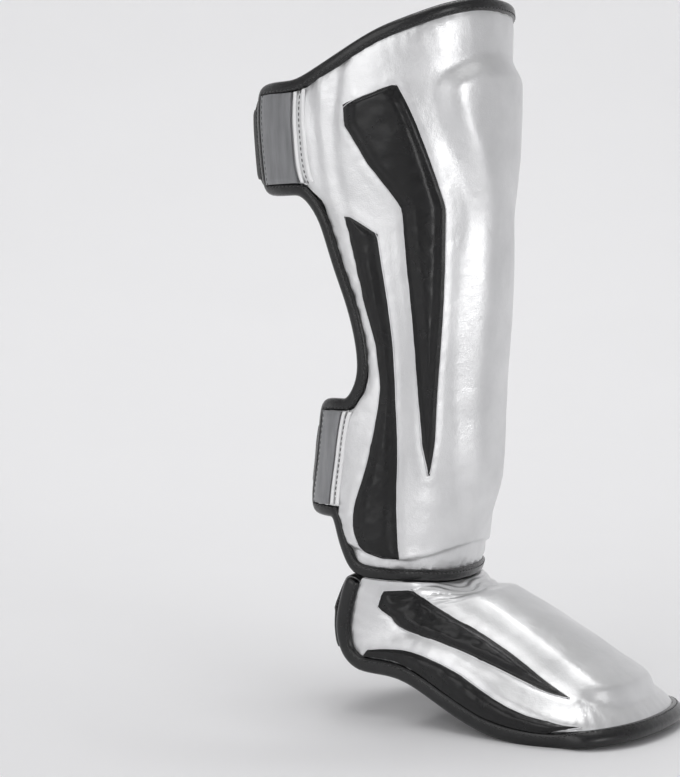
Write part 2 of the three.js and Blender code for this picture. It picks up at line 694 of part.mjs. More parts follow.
// Foot wall over the instep with its raised pad, and the rolled binding along its sides and toes
function addFootPart() {
  const wall = wallGeometry(2 * FOOT_HALF_COLUMNS, FOOT_ROWS, () => true, footCorner);
  addPiece('instep_shell', wall.geometry, SILVER);
  const loop = rimLoop(wall.edges, [2 * FOOT_HALF_COLUMNS, 0]);
  const sides = loop.filter(([i, j]) => j > 0 || i === 2 * FOOT_HALF_COLUMNS || i === 0);
  const bound = sides.map(([i, j]) => [i, Math.max(j, FOOT_BINDING_START)]);
  addPiece('instep_binding', bindingGeometry(bound, footCorner, false, TOE_GAP), BLACK);
}

function addFootPanels() {
  const place = (turn, station, depth) => footPoint(-turn, station, depth);
  for (const side of SIDES) {
    const flash = panelGeometry(FOOT_FLASH, 'station', place, -side.sign, 1);
    addPiece(`instep_flash_${side.name}`, flash, BLACK);
    const corner = panelGeometry(FOOT_CORNER, 'station', place, -side.sign, 1);
    addPiece(`instep_corner_${side.name}`, corner, BLACK);
  }
}

// Elastic strap round the heel, from the rear edge of one side to that of the other
function addHeelStrap() {
  const rows = HEEL_STRAP_ROWS[1] - HEEL_STRAP_ROWS[0];
  const rearPoint = (sign, row) => {
    const column = FOOT_HALF_COLUMNS * (1 - sign);
    const edge = footCorner(column, row, true).lerp(footCorner(column, row, false), 0.5);
    return edge.add(new THREE.Vector3(-BINDING_WIDTH - BINDING_ROLL, 0, 0));
  };
  const place = (i, j, outside) => {
    const row = HEEL_STRAP_ROWS[1] - j;
    const near = rearPoint(RIGHT, row);
    const far = rearPoint(LEFT, row);
    const middle = near.clone().lerp(far, 0.5);
    const half = (far.y - near.y) / 2;
    const turn = (i / FOOT_STRAP_CELLS) * Math.PI;
    const outward = (outside ? 0.5 : -0.5) * STRAP_THICKNESS;
    const back = (HEEL_STRAP_BOW + outward) * Math.sin(turn);
    const across = (half + outward) * Math.cos(turn);
    const slant = (near.x - far.x) / 2 * Math.cos(turn);
    return new THREE.Vector3(middle.x - back - slant, middle.y + across, middle.z);
  };
  addPiece('heel_strap', wallGeometry(FOOT_STRAP_CELLS, rows, () => true, place).geometry, WEBBING);
}

// Elastic strap under the arch, straight across between the inner faces of the foot wall
function addSoleStrap() {
  const half = SOLE_STRAP_WIDTH / FOOT_LENGTH / 2;
  const place = (i, j, outside) => {
    const station = SOLE_STRAP_STATION + (j - 0.5) * 2 * half;
    const turn = SOLE_STRAP_TURN;
    const near = footPoint(-turn, station, -FOOT_WALL - LAY_GAP);
    const far = footPoint(turn, station, -FOOT_WALL - LAY_GAP);
    const point = near.lerp(far, i / FOOT_STRAP_CELLS);
    const sag = Math.sin((i / FOOT_STRAP_CELLS) * Math.PI) * SOLE_STRAP_BOW;
    point.z -= sag + (outside ? STRAP_THICKNESS : 0);
    return point;
  };
  addPiece('sole_strap', wallGeometry(FOOT_STRAP_CELLS, 1, () => true, place).geometry, WEBBING);
}

// Soft flap inside the ankle that joins the shin wall and the foot wall
function addAnkleTongue() {
  const behindShin = SHIN_WALL + LAY_GAP;
  const behindFoot = FOOT_WALL + ANKLE_GAP;
  const rows = [
    { station: 2 / FOOT_ROWS, depth: behindFoot },
    { station: 1 / FOOT_ROWS, depth: behindFoot },
    { station: 0, depth: behindShin },
    { row: 0, depth: behindShin },
    { row: 1, depth: behindShin },
    { row: 2, depth: behindShin },
  ];
  const place = (i, j, outside) => {
    const angle = THREE.MathUtils.lerp(-TONGUE_SPREAD, TONGUE_SPREAD, i / TONGUE_COLUMNS);
    const { station, row, depth } = rows[j];
    const inward = -depth - (outside ? 0 : TONGUE_THICKNESS);
    if (row === undefined) {
      return footPoint(angle / (ankleTurn(QUARTER_TURN) / QUARTER_TURN), station, inward);
    }
    return legPoint(angle, shinHeight(row, angle), inward);
  };
  const flap = wallGeometry(TONGUE_COLUMNS, rows.length - 1, () => true, place);
  addPiece('ankle_tongue', flap.geometry, WEBBING);
}

addShinPart();
addShinPanels();
addWingPieces();
addFootPart();
addFootPanels();
addHeelStrap();
addSoleStrap();
addAnkleTongue();

export default guard;
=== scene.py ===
"""Kickboxing shin guard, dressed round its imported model.

The leather walls, inlays, bindings, tabs and straps are made over the model's nodes.
"""

import logging
import math
from dataclasses import dataclass, field
from enum import Enum
from typing import Callable, Sequence

import bmesh
import bpy
import numpy as np
from mathutils import Matrix, Vector, noise
from mathutils.bvhtree import BVHTree


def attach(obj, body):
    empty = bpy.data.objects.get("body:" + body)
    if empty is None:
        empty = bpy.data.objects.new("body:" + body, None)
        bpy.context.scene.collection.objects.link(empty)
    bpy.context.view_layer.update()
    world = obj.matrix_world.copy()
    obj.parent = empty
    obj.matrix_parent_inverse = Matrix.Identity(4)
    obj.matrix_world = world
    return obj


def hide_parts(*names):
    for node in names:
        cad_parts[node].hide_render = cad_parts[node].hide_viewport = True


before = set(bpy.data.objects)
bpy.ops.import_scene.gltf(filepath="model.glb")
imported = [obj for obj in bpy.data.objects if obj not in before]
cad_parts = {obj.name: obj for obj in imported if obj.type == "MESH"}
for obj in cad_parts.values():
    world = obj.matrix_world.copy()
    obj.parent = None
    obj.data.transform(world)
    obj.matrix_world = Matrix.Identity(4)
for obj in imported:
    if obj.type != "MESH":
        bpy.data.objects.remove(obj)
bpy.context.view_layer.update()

LOG = logging.getLogger("shin_guard")
MILLIMETRE = 0.001

# Heights in millimetres: of the frame's origin above the floor, and of the guard.
SEAT_HEIGHT = 250.0
GUARD_HEIGHT = 461.0

# Signs of the near and the far side, and the guard's sides by name.
NEAR = -1
FAR = 1
SIDES = {"left": FAR, "right": NEAR}

# Degrees from the foot's ridge to its side edges, and the steps over which a surface's
# direction is taken: in degrees, millimetres and shares of the foot's length.
EDGE_TURN = 90.0
ANGLE_STEP = 0.4
HEIGHT_STEP = 0.4
STATION_STEP = 0.01

# Rounds in which a corner's angle and height settle.
SETTLING_ROUNDS = 5

# Range that most of a noise falls in, its roughness, and a wave pattern's pitch at scale one.
NOISE_LOW = 0.3
NOISE_HIGH = 0.7
NOISE_ROUGHNESS = 0.55
WAVE_PITCH = 0.314

# Short names of types.
Triple = tuple[float, float, float]
Place = Callable[[np.ndarray, np.ndarray], np.ndarray]
SurfacePoint = Callable[..., np.ndarray]
PatternMap = Callable[[float, float], tuple[float, float]]


class Table:
    """Rows of a form, read between the rows by a smooth curve."""

    def __init__(self, names: str, *rows: tuple[float, ...]) -> None:
        """Keeps the rows.

        Args:
            names: column names, the first of which is the key.
            rows: one tuple of numbers for each row, in rising order of the key.
        """
        self.names = names.split()
        self.rows = np.array(rows, float)

    def read(self, name: str, at: np.ndarray) -> np.ndarray:
        """Reads one column.

        Args:
            name: the column's name.
            at: key values.

        Returns:
            The column's values there.
        """
        keys = self.rows[:, 0]
        values = self.rows[:, self.names.index(name)]
        x = np.clip(at, keys[0], keys[-1])
        i = np.clip(np.searchsorted(keys, x, side="right") - 1, 0, len(keys) - 2)
        before = np.maximum(np.arange(len(keys)) - 1, 0)
        after = np.minimum(np.arange(len(keys)) + 1, len(keys) - 1)
        slopes = (values[after] - values[before]) / (keys[after] - keys[before])
        span = keys[i + 1] - keys[i]
        t = (x - keys[i]) / span
        rise = values[i + 1] - values[i]
        start, end = slopes[i] * span, slopes[i + 1] * span
        value = values[i] + start * t + (3 * rise - 2 * start - end) * t**2
        return value + (start + end - 2 * rise) * t**3


def powered(value: np.ndarray, exponent: float) -> np.ndarray:
    """Raises the size of each value to a power and keeps its sign."""
    return np.sign(value) * np.abs(value) ** exponent


def mixed(a: np.ndarray, b: np.ndarray, t: np.ndarray) -> np.ndarray:
    """Goes from a to b as t goes from 0 to 1."""
    return a + (b - a) * t


def eased(t: np.ndarray) -> np.ndarray:
    """Smooth step from 0 to 1."""
    t = np.clip(t, 0.0, 1.0)
    return t * t * (3 - 2 * t)


def unit(vectors: np.ndarray) -> np.ndarray:
    """Vectors of length one."""
    return vectors / np.maximum(np.linalg.norm(vectors, axis=-1, keepdims=True), 1e-9)


def rumple(points: np.ndarray, scale: Sequence[float], seed: float) -> np.ndarray:
    """Smooth irregular values from about -1 to 1.

    Args:
        points: places in millimetres.
        scale: size of a lump along each axis, in millimetres.
        seed: shift that gives another pattern.

    Returns:
        One value for each place.
    """
    shifted = points / np.array(scale) + seed
    return np.array([noise.noise(Vector(p)) for p in shifted])


@dataclass(frozen=True)
class LegForm:
    """Skin surface of the leg under the shin part, and the layout of the shin wall on it.

    Lengths are in millimetres. The tables hold shares of the height, depth and width, and
    angles in degrees. Trim is the width of the shin's binding, and binding that of the
    foot's, which the ankle is laid out by.
    """

    height: float = GUARD_HEIGHT
    depth: float = 180.0
    width: float = 138.0
    roundness: float = 2.2
    binding: float = 8.5
    trim: float = 6.6
    pad_bevel: float = 7.0
    lower_wing: tuple[float, float] = (0.284, 0.448)
    upper_wing_foot: float = 0.738
    pad_cells: int = 3
    bevel_cells: int = 1
    side_cells: int = 7
    wing_cells: int = 3
    sections: Table = field(default_factory=lambda: Table(
        "height centre front rear side",
        (0.170, -0.050, 0.286, 0.258, 0.475), (0.207, -0.044, 0.294, 0.270, 0.471),
        (0.283, -0.028, 0.312, 0.335, 0.460), (0.374, -0.012, 0.322, 0.335, 0.449),
        (0.457, -0.025, 0.346, 0.305, 0.446), (0.587, -0.056, 0.402, 0.430, 0.453),
        (0.717, -0.089, 0.447, 0.500, 0.467), (0.833, -0.114, 0.484, 0.510, 0.489),
        (0.913, -0.119, 0.492, 0.500, 0.500), (1.022, -0.122, 0.504, 0.500, 0.507)))
    outline: Table = field(default_factory=lambda: Table(
        "angle top pad_top pad_foot bottom",
        (0, 1.006, 0.937, 0.240, 0.191), (22, 1.004, 0.930, 0.236, 0.192),
        (41, 0.992, 0.908, 0.228, 0.196), (57, 0.976, 0.892, 0.224, 0.198),
        (71, 0.960, 0.880, 0.228, 0.200), (85, 0.934, 0.868, 0.236, 0.203),
        (96, 0.911, 0.856, 0.244, 0.206), (104, 0.897, 0.848, 0.250, 0.208),
        (125, 0.896, 0.844, 0.250, 0.208), (150, 0.892, 0.840, 0.250, 0.208)))
    edges: Table = field(default_factory=lambda: Table(
        "height rear wing pad",
        (0.206, 90.5, 128, 18), (0.243, 99.0, 130, 18), (0.268, 104.0, 132, 19),
        (0.290, 108.0, 134, 20), (0.370, 108.0, 132, 28), (0.425, 104.0, 130, 29),
        (0.450, 96.0, 130, 30), (0.475, 91.5, 130, 30), (0.520, 90.7, 130, 30),
        (0.580, 93.8, 130, 29), (0.640, 98.2, 130, 28), (0.700, 101.6, 134, 25),
        (0.728, 104.0, 136, 27), (0.755, 111.0, 137, 31), (0.825, 112.0, 137, 40),
        (0.880, 111.0, 136, 44), (0.910, 110.0, 135, 44), (1.000, 108.0, 135, 42)))
    bands: tuple[tuple[str, str, int], ...] = (
        ("bottom", "pad_foot", 1), ("pad_foot", "pad_round", 1),
        ("pad_round", "lower_wing_foot", 1), ("lower_wing_foot", "lower_wing_top", 5),
        ("lower_wing_top", "upper_wing_foot", 8), ("upper_wing_foot", "pad_shoulder", 4),
        ("pad_shoulder", "pad_top", 1), ("pad_top", "top", 2))

    @property
    def rear_column(self) -> int:
        """Columns from the middle to the rear edge."""
        return self.pad_cells + self.bevel_cells + self.side_cells

    @property
    def half(self) -> int:
        """Columns from the middle to a wing's end."""
        return self.rear_column + self.wing_cells

    @property
    def rows(self) -> int:
        """Rows from the bottom to the top."""
        return sum(cells for _, _, cells in self.bands)

    def row_at(self, name: str) -> int:
        """Row at which the band that starts at a named height begins."""
        names = [start for start, _, _ in self.bands]
        return sum(cells for _, _, cells in self.bands[: names.index(name)])

    def degrees(self, length: float) -> float:
        """Angle that a length along the skin spans."""
        return math.degrees(length / (self.width / 2))

    def limit(self, name: str, angle: np.ndarray) -> np.ndarray:
        """Height in millimetres of an outline column at an angle from the front."""
        return self.outline.read(name, np.abs(angle)) * self.height

    def surface(self, angle: np.ndarray, height: np.ndarray) -> np.ndarray:
        """Point of the skin.

        Args:
            angle: degrees from the front, rising towards the far side.
            height: millimetres above the floor.

        Returns:
            Points in millimetres.
        """
        share, turn = height / self.height, np.radians(angle)
        read = self.sections.read
        forward = np.cos(turn)
        reach = np.where(forward >= 0, read("front", share), read("rear", share))
        power = 2 / self.roundness
        x = (read("centre", share) + reach * powered(forward, power)) * self.depth
        y = read("side", share) * self.width * powered(np.sin(turn), power)
        return np.stack([x, y, height + 0 * turn], -1)

    def normal(self, angle: np.ndarray, height: np.ndarray) -> np.ndarray:
        """Outward direction of the skin.

        Args:
            angle: degrees from the front.
            height: millimetres above the floor.

        Returns:
            Vectors of length one.
        """
        ahead, behind = angle + ANGLE_STEP, angle - ANGLE_STEP
        along = self.surface(ahead, height) - self.surface(behind, height)
        above, below = height + HEIGHT_STEP, height - HEIGHT_STEP
        up = self.surface(angle, above) - self.surface(angle, below)
        return unit(np.cross(along, up))

    def point(self, angle: np.ndarray, height: np.ndarray, depth: np.ndarray | float) -> np.ndarray:
        """Point of the skin, moved outwards by a depth."""
        normal = self.normal(angle, height)
        return self.surface(angle, height) + normal * np.asarray(depth)[..., None]

    def band_height(self, name: str, angle: np.ndarray) -> np.ndarray:
        """Height of a named line round the shin wall.

        Args:
            name: the line's name.
            angle: degrees from the front.

        Returns:
            Millimetres above the floor.
        """
        level = {"lower_wing_foot": self.lower_wing[0] * self.height + self.trim,
                 "lower_wing_top": self.lower_wing[1] * self.height - self.trim,
                 "upper_wing_foot": self.upper_wing_foot * self.height + self.trim}
        if name in level:
            return level[name] + 0 * np.asarray(angle, float)
        column, shift = {
            "bottom": ("bottom", self.trim), "top": ("top", -self.trim),
            "pad_foot": ("pad_foot", 0.0), "pad_round": ("pad_foot", self.pad_bevel),
            "pad_shoulder": ("pad_top", -self.pad_bevel), "pad_top": ("pad_top", 0.0)}[name]
        return self.limit(column, angle) + shift

    def row_height(self, row: np.ndarray, angle: np.ndarray) -> np.ndarray:
        """Height of a row at an angle, where rows may be fractions.

        Args:
            row: rows from the bottom.
            angle: degrees from the front.

        Returns:
            Millimetres above the floor.
        """
        height, first = 0 * row, 0
        for start, end, cells in self.bands:
            t = (row - first) / cells
            low, high = self.band_height(start, angle), self.band_height(end, angle)
            value = mixed(low, high, t)
            height = np.where(row >= first, value, height)
            first += cells
        return height

    def column_angle(self, column: np.ndarray, height: np.ndarray) -> np.ndarray:
        """Angle of a column at a height, where columns may be fractions.

        Args:
            column: columns from the near wing's end.
            height: millimetres above the floor.

        Returns:
            Degrees from the front.
        """
        share = height / self.height
        steps, sign = np.abs(column - self.half), np.sign(column - self.half)
        pad = self.edges.read("pad", share)
        flat = pad - self.degrees(self.pad_bevel)
        rear = self.edges.read("rear", share) - self.degrees(self.trim)
        wing = self.edges.read("wing", share) - self.degrees(self.trim)
        first, second = self.pad_cells, self.pad_cells + self.bevel_cells
        side = mixed(pad, rear, (steps - second) / self.side_cells)
        bevel = mixed(flat, pad, (steps - first) / self.bevel_cells)
        angle = mixed(rear, wing, (steps - self.rear_column) / self.wing_cells)
        angle = np.where(steps <= self.rear_column, side, angle)
        angle = np.where(steps <= second, bevel, angle)
        return sign * np.where(steps <= first, flat * steps / first, angle)

    def place(self, column: np.ndarray, row: np.ndarray) -> tuple[np.ndarray, np.ndarray]:
        """Angle and height of a corner of the shin wall, settled in a few rounds.

        Args:
            column: columns from the near wing's end.
            row: rows from the bottom.

        Returns:
            The angles in degrees and the heights in millimetres.
        """
        angle = 0 * np.asarray(column, float)
        height = angle
        for _ in range(SETTLING_ROUNDS):
            height = self.row_height(np.asarray(row, float), angle)
            angle = self.column_angle(np.asarray(column, float), height)
        return angle, height


@dataclass(frozen=True)
class FootForm:
    """Skin surface of the foot, and the layout of the foot wall on it.

    Lengths are in millimetres and angles in degrees. A station is 0 at the ankle and 1 at
    the toe edge, and the table holds shares of the length, width and ankle height.
    """

    leg: LegForm
    length: float = 176.0
    width: float = 130.0
    ankle: float = 88.0
    roundness: float = 2.3
    steepness: float = 1.6
    yaw: float = 4.0
    yaw_station: float = 0.5
    blend_station: float = 0.1
    ankle_gap: float = 1.2
    pad_turn: float = 37.0
    pad_bevel: float = 8.0
    half: int = 9
    pad_cells: int = 3
    rows: int = 16
    sections: Table = field(default_factory=lambda: Table(
        "station edge_x edge_z ridge_x ridge_z half",
        (0.00, -0.034, 1.040, 0.252, 0.985, 0.496), (0.08, -0.060, 0.840, 0.302, 0.950, 0.472),
        (0.16, -0.070, 0.650, 0.353, 0.915, 0.460), (0.24, -0.060, 0.520, 0.412, 0.878, 0.458),
        (0.32, -0.018, 0.450, 0.470, 0.830, 0.460), (0.40, 0.062, 0.446, 0.532, 0.772, 0.466),
        (0.48, 0.150, 0.440, 0.600, 0.705, 0.474), (0.56, 0.240, 0.390, 0.668, 0.630, 0.484),
        (0.64, 0.328, 0.310, 0.735, 0.550, 0.496), (0.72, 0.420, 0.225, 0.800, 0.460, 0.508),
        (0.80, 0.528, 0.148, 0.874, 0.370, 0.530), (0.88, 0.640, 0.109, 0.938, 0.290, 0.540),
        (0.94, 0.728, 0.098, 0.986, 0.222, 0.540), (1.00, 0.812, 0.095, 1.028, 0.150, 0.516)))

    def ankle_turn(self, turn: np.ndarray) -> np.ndarray:
        """Angle on the leg that a turn on the foot meets at the ankle.

        Args:
            turn: degrees from the ridge.

        Returns:
            Degrees from the leg's front.
        """
        share = self.leg.limit("bottom", np.array(EDGE_TURN)) / self.leg.height
        rear = self.leg.edges.read("rear", share) - self.leg.degrees(self.leg.binding)
        return turn / EDGE_TURN * rear

    def surface(self, turn: np.ndarray, station: np.ndarray) -> np.ndarray:
        """Point of the skin.

        Args:
            turn: degrees from the ridge, rising towards the far side.
            station: 0 at the ankle to 1 at the toe edge.

        Returns:
            Points in millimetres.
        """
        station = np.clip(station, 0, 1) + 0 * turn
        power = 2 / self.roundness
        sweep = np.maximum(np.cos(np.radians(turn)), 0)
        rise = sweep ** (power / self.steepness)
        read = self.sections.read
        x = mixed(read("edge_x", station), read("ridge_x", station), sweep) * self.length
        y = read("half", station) * self.width * powered(np.sin(np.radians(turn)), power)
        z = mixed(read("edge_z", station), read("ridge_z", station), rise) * self.ankle
        yaw = np.radians(-self.yaw) * np.minimum(station / self.yaw_station, 1)
        cos, sin = np.cos(yaw), np.sin(yaw)
        section = np.stack([x * cos - y * sin, x * sin + y * cos, z], -1)
        angle = self.ankle_turn(turn)
        start = self.leg.surface(angle, self.leg.limit("bottom", angle) - self.ankle_gap)
        return mixed(start, section, np.minimum(station / self.blend_station, 1)[..., None])

    def normal(self, turn: np.ndarray, station: np.ndarray) -> np.ndarray:
        """Outward direction of the skin.

        Args:
            turn: degrees from the ridge.
            station: 0 at the ankle to 1 at the toe edge.

        Returns:
            Vectors of length one.
        """
        ahead, behind = turn + ANGLE_STEP, turn - ANGLE_STEP
        along = self.surface(ahead, station) - self.surface(behind, station)
        before, after = station - STATION_STEP, station + STATION_STEP
        back = self.surface(turn, before) - self.surface(turn, after)
        return unit(np.cross(along, back))

    def point(self, turn: np.ndarray, station: np.ndarray,
              depth: np.ndarray | float) -> np.ndarray:
        """Point of the skin, moved outwards by a depth."""
        normal = self.normal(turn, station)
        return self.surface(turn, station) + normal * np.asarray(depth)[..., None]

    def column_turn(self, column: np.ndarray) -> np.ndarray:
        """Turn of a column of the foot wall, where columns may be fractions.

        Args:
            column: columns from the far edge.

        Returns:
            Degrees from the ridge.
        """
        steps, sign = np.abs(column - self.half), np.sign(self.half - column)
        flat = self.pad_turn - self.pad_bevel
        first, second = self.pad_cells, self.pad_cells + 1
        turn = mixed(self.pad_turn, EDGE_TURN, (steps - second) / (self.half - second))
        turn = np.where(steps <= second, mixed(flat, self.pad_turn, steps - first), turn)
        return sign * np.where(steps <= first, flat * steps / first, turn)


class Coordinates(Enum):
    """What a finish's pattern follows."""

    OBJECT = "Object"
    SURFACE = "UV"


class Nodes:
    """Short way to lay out the nodes of one material."""

    def __init__(self, name: str, coordinates: Coordinates) -> None:
        """Starts a material with its shader.

        Args:
            name: the material's name.
            coordinates: what its pattern follows.
        """
        self.material = bpy.data.materials.new(name)
        self.material.use_nodes = True
        self.tree = self.material.node_tree
        self.shader = self.tree.nodes["Principled BSDF"]
        self.place = self.tree.nodes.new("ShaderNodeTexCoord").outputs[coordinates.value]

    def add(self, kind: str, inputs: dict[str | int, object], **settings: object) -> bpy.types.Node:
        """Adds a node.

        Args:
            kind: the node's type without its ShaderNode prefix.
            inputs: socket values, or output sockets to link.
            settings: properties of the node.

        Returns:
            The node.
        """
        node = self.tree.nodes.new("ShaderNode" + kind)
        for key, value in settings.items():
            setattr(node, key, value)
        for key, value in inputs.items():
            if isinstance(value, bpy.types.NodeSocket):
                self.tree.links.new(value, node.inputs[key])
            else:
                node.inputs[key].default_value = value
        return node

    def stretched(self, scale: Sequence[float]) -> bpy.types.NodeSocket:
        """Coordinates multiplied along each axis."""
        return self.add("Mapping", {"Vector": self.place, "Scale": scale}).outputs["Vector"]

    def noise(self, scale: Sequence[float], detail: float) -> bpy.types.NodeSocket:
        """Cloudy value with lumps of one over the scale, in metres.

        Args:
            scale: lumps for each metre along each axis.
            detail: finer layers over them.

        Returns:
            The value, from 0 to 1.
        """
        inputs = {"Vector": self.stretched(scale), "Scale": 1.0, "Detail": detail,
                  "Roughness": NOISE_ROUGHNESS}
        return self.add("TexNoise", inputs).outputs[0]

    def ranged(self, value: bpy.types.NodeSocket, low: float, high: float
               ) -> bpy.types.NodeSocket:
        """Value spread from low to high.

        Args:
            value: a noise.
            low: what its low values become.
            high: what its high values become.

        Returns:
            The spread value.
        """
        inputs = {"Value": value, "From Min": NOISE_LOW, "From Max": NOISE_HIGH, "To Min": low,
                  "To Max": high}
        return self.add("MapRange", inputs).outputs[0]

    def tinted(self, value: bpy.types.NodeSocket, dark: Sequence[float],
               light: Sequence[float]) -> bpy.types.NodeSocket:
        """Colour between two colours.

        Args:
            value: a noise.
            dark: colour of its low values.
            light: colour of its high values.

        Returns:
            The colour.
        """
        ramp = self.add("ValToRGB", {"Fac": value})
        stops = zip(ramp.color_ramp.elements, (NOISE_LOW, NOISE_HIGH), (dark, light))
        for stop, position, colour in stops:
            stop.position = position
            stop.color = (*colour, 1)
        return ramp.outputs["Color"]

    def bumped(self, height: bpy.types.NodeSocket, distance: float, strength: float = 1.0,
               over: bpy.types.NodeSocket | None = None) -> bpy.types.NodeSocket:
        """Surface direction with a height pattern on it.

        Args:
            height: the pattern.
            distance: its depth in metres.
            strength: how strongly it shows.
            over: a surface direction that it lies on.

        Returns:
            The direction.
        """
        inputs: dict[str | int, object] = {
            "Height": height, "Distance": distance, "Strength": strength}
        if over is not None:
            inputs["Normal"] = over
        return self.add("Bump", inputs).outputs["Normal"]

    def joined(self, name: str, value: bpy.types.NodeSocket | object) -> None:
        """Sets a socket of the shader, or links something to it.

        Args:
            name: the socket's name.
            value: a number or colour, or an output socket.
        """
        if isinstance(value, bpy.types.NodeSocket):
            self.tree.links.new(value, self.shader.inputs[name])
        else:
            self.shader.inputs[name].default_value = value


@dataclass(frozen=True)
class Leather:
    """Coated leather: fine pebble grain, soft undulations and slightly uneven gloss.

    Grain and wave sizes are in millimetres, and the lumps of a pattern in counts for each
    metre along each axis.
    """

    name: str
    dark: Triple
    light: Triple
    metallic: float
    roughness: tuple[float, float]
    coat: float
    grain_mm: float
    grain_depth_mm: float
    wave_depth_mm: float
    specular: float = 0.5
    coat_roughness: float = 0.12
    fleck_depth_mm: float = 0.03
    wave_lumps: Triple = (150, 150, 150)
    fleck_lumps: Triple = (2600, 2600, 2600)
    tint_lumps: Triple = (28, 28, 28)
    gloss_lumps: Triple = (70, 70, 70)

    def build(self) -> bpy.types.Material:
        """Lays out the material."""
        n = Nodes(self.name, Coordinates.OBJECT)
        inputs = {"Vector": n.place, "Scale": 1 / (self.grain_mm * MILLIMETRE)}
        pebbles = n.add("TexVoronoi", inputs, feature="DISTANCE_TO_EDGE").outputs["Distance"]
        rounded = n.add("MapRange", {"Value": pebbles, "From Max": 0.22}).outputs[0]
        waves = n.bumped(n.noise(self.wave_lumps, 4.0), self.wave_depth_mm * MILLIMETRE)
        fleck_depth = self.fleck_depth_mm * MILLIMETRE
        flecks = n.bumped(n.noise(self.fleck_lumps, 2.0), fleck_depth, 0.5, waves)
        n.joined("Normal", n.bumped(rounded, self.grain_depth_mm * MILLIMETRE, 0.6, flecks))
        n.joined("Base Color", n.tinted(n.noise(self.tint_lumps, 5.0), self.dark, self.light))
        n.joined("Roughness", n.ranged(n.noise(self.gloss_lumps, 4.0), *self.roughness))
        n.joined("Metallic", self.metallic)
        n.joined("Specular IOR Level", self.specular)
        n.joined("Coat Weight", self.coat)
        n.joined("Coat Roughness", self.coat_roughness)
        return n.material


@dataclass(frozen=True)
class Webbing:
    """Woven band: raised ribs across its length and fine threads along it; its colour is darker in
    the weave's hollows as painted shade, and patchy with wear.
    """

    name: str
    dark: Triple
    light: Triple
    rib_mm: float
    thread_mm: float
    roughness: float = 0.85
    weave_depth_mm: float = 0.45
    fuzz_depth_mm: float = 0.08
    fuzz_lumps: Triple = (3000, 3000, 3000)
    wear_lumps: Triple = (60, 60, 60)

    def waves(self, n: Nodes, pitch_mm: float, distortion: float, axis: str
              ) -> bpy.types.NodeSocket:
        """Even ridges at a pitch across an axis of the pattern map.

        Args:
            n: the material's nodes.
            pitch_mm: millimetres from ridge to ridge.
            distortion: how uneven they are.
            axis: axis of the map that they cross.

        Returns:
            The ridges' height, from 0 to 1.
        """
        inputs = {"Vector": n.place, "Scale": WAVE_PITCH / (pitch_mm * MILLIMETRE),
                  "Distortion": distortion}
        return n.add("TexWave", inputs, bands_direction=axis).outputs["Fac"]

    def build(self) -> bpy.types.Material:
        """Lays out the material."""
        n = Nodes(self.name, Coordinates.SURFACE)
        ribs = self.waves(n, self.rib_mm, 0.4, "X")
        threads = self.waves(n, self.thread_mm, 0.6, "Y")
        both = n.add("Math", {0: ribs, 1: threads}, operation="MULTIPLY").outputs[0]
        fuzz = n.bumped(n.noise(self.fuzz_lumps, 2.0), self.fuzz_depth_mm * MILLIMETRE, 0.6)
        n.joined("Normal", n.bumped(both, self.weave_depth_mm * MILLIMETRE, 0.8, fuzz))
        # Painted shade: the colour follows the weave's height, darker in its hollows, with patches
        # of wear laid over it.
        wear = n.noise(self.wear_lumps, 3.0)
        hollow_shade_and_wear = n.add("Math", {0: both, 1: wear}, operation="MULTIPLY").outputs[0]
        n.joined("Base Color", n.tinted(hollow_shade_and_wear, self.dark, self.light))
        n.joined("Roughness", self.roughness)
        n.joined("Sheen Weight", 0.25)
        n.joined("Sheen Roughness", 0.4)
        return n.material


@dataclass(frozen=True)
class Satin:
    """Smooth satin cloth: faint brushed threads in one direction, a silky gloss, and painted sheen
    as upright streaks in its colour.
    """

    name: str
    dark: Triple
    light: Triple
    metallic: float = 0.55
    roughness: tuple[float, float] = (0.36, 0.5)
    fold_depth_mm: float = 0.5
    thread_depth_mm: float = 0.06
    thread_lumps: Triple = (1800, 1800, 90)
    fold_lumps: Triple = (60, 60, 30)
    # Colour streaks, long along the height: painted sheen.
    tint_lumps: Triple = (160, 160, 20)
    gloss_lumps: Triple = (90, 90, 90)

    def build(self) -> bpy.types.Material:
        """Lays out the material."""
        n = Nodes(self.name, Coordinates.OBJECT)
        threads = n.noise(self.thread_lumps, 3.0)
        folds = n.bumped(n.noise(self.fold_lumps, 3.0), self.fold_depth_mm * MILLIMETRE)
        n.joined("Normal", n.bumped(threads, self.thread_depth_mm * MILLIMETRE, 0.5, folds))
        # Painted sheen: lighter and darker upright streaks in the colour.
        n.joined("Base Color", n.tinted(n.noise(self.tint_lumps, 4.0), self.dark, self.light))
        n.joined("Roughness", n.ranged(n.noise(self.gloss_lumps, 3.0), *self.roughness))
        n.joined("Metallic", self.metallic)
        n.joined("Sheen Weight", 0.2)
        return n.material


@dataclass(frozen=True)
class Thread:
    """Twisted sewing thread."""

    name: str
    colour: Triple
    shade: float = 0.72
    twist_depth_mm: float = 0.12
    twist_lumps: Triple = (2400, 2400, 5200)

    def build(self) -> bpy.types.Material:
        """Lays out the material."""
        n = Nodes(self.name, Coordinates.OBJECT)
        twist = n.noise(self.twist_lumps, 2.0)
        dark = tuple(self.shade * part for part in self.colour)
        n.joined("Base Color", n.tinted(twist, dark, self.colour))
        n.joined("Normal", n.bumped(twist, self.twist_depth_mm * MILLIMETRE, 0.7))
        n.joined("Roughness", 0.6)
        n.joined("Sheen Weight", 0.2)
        return n.material


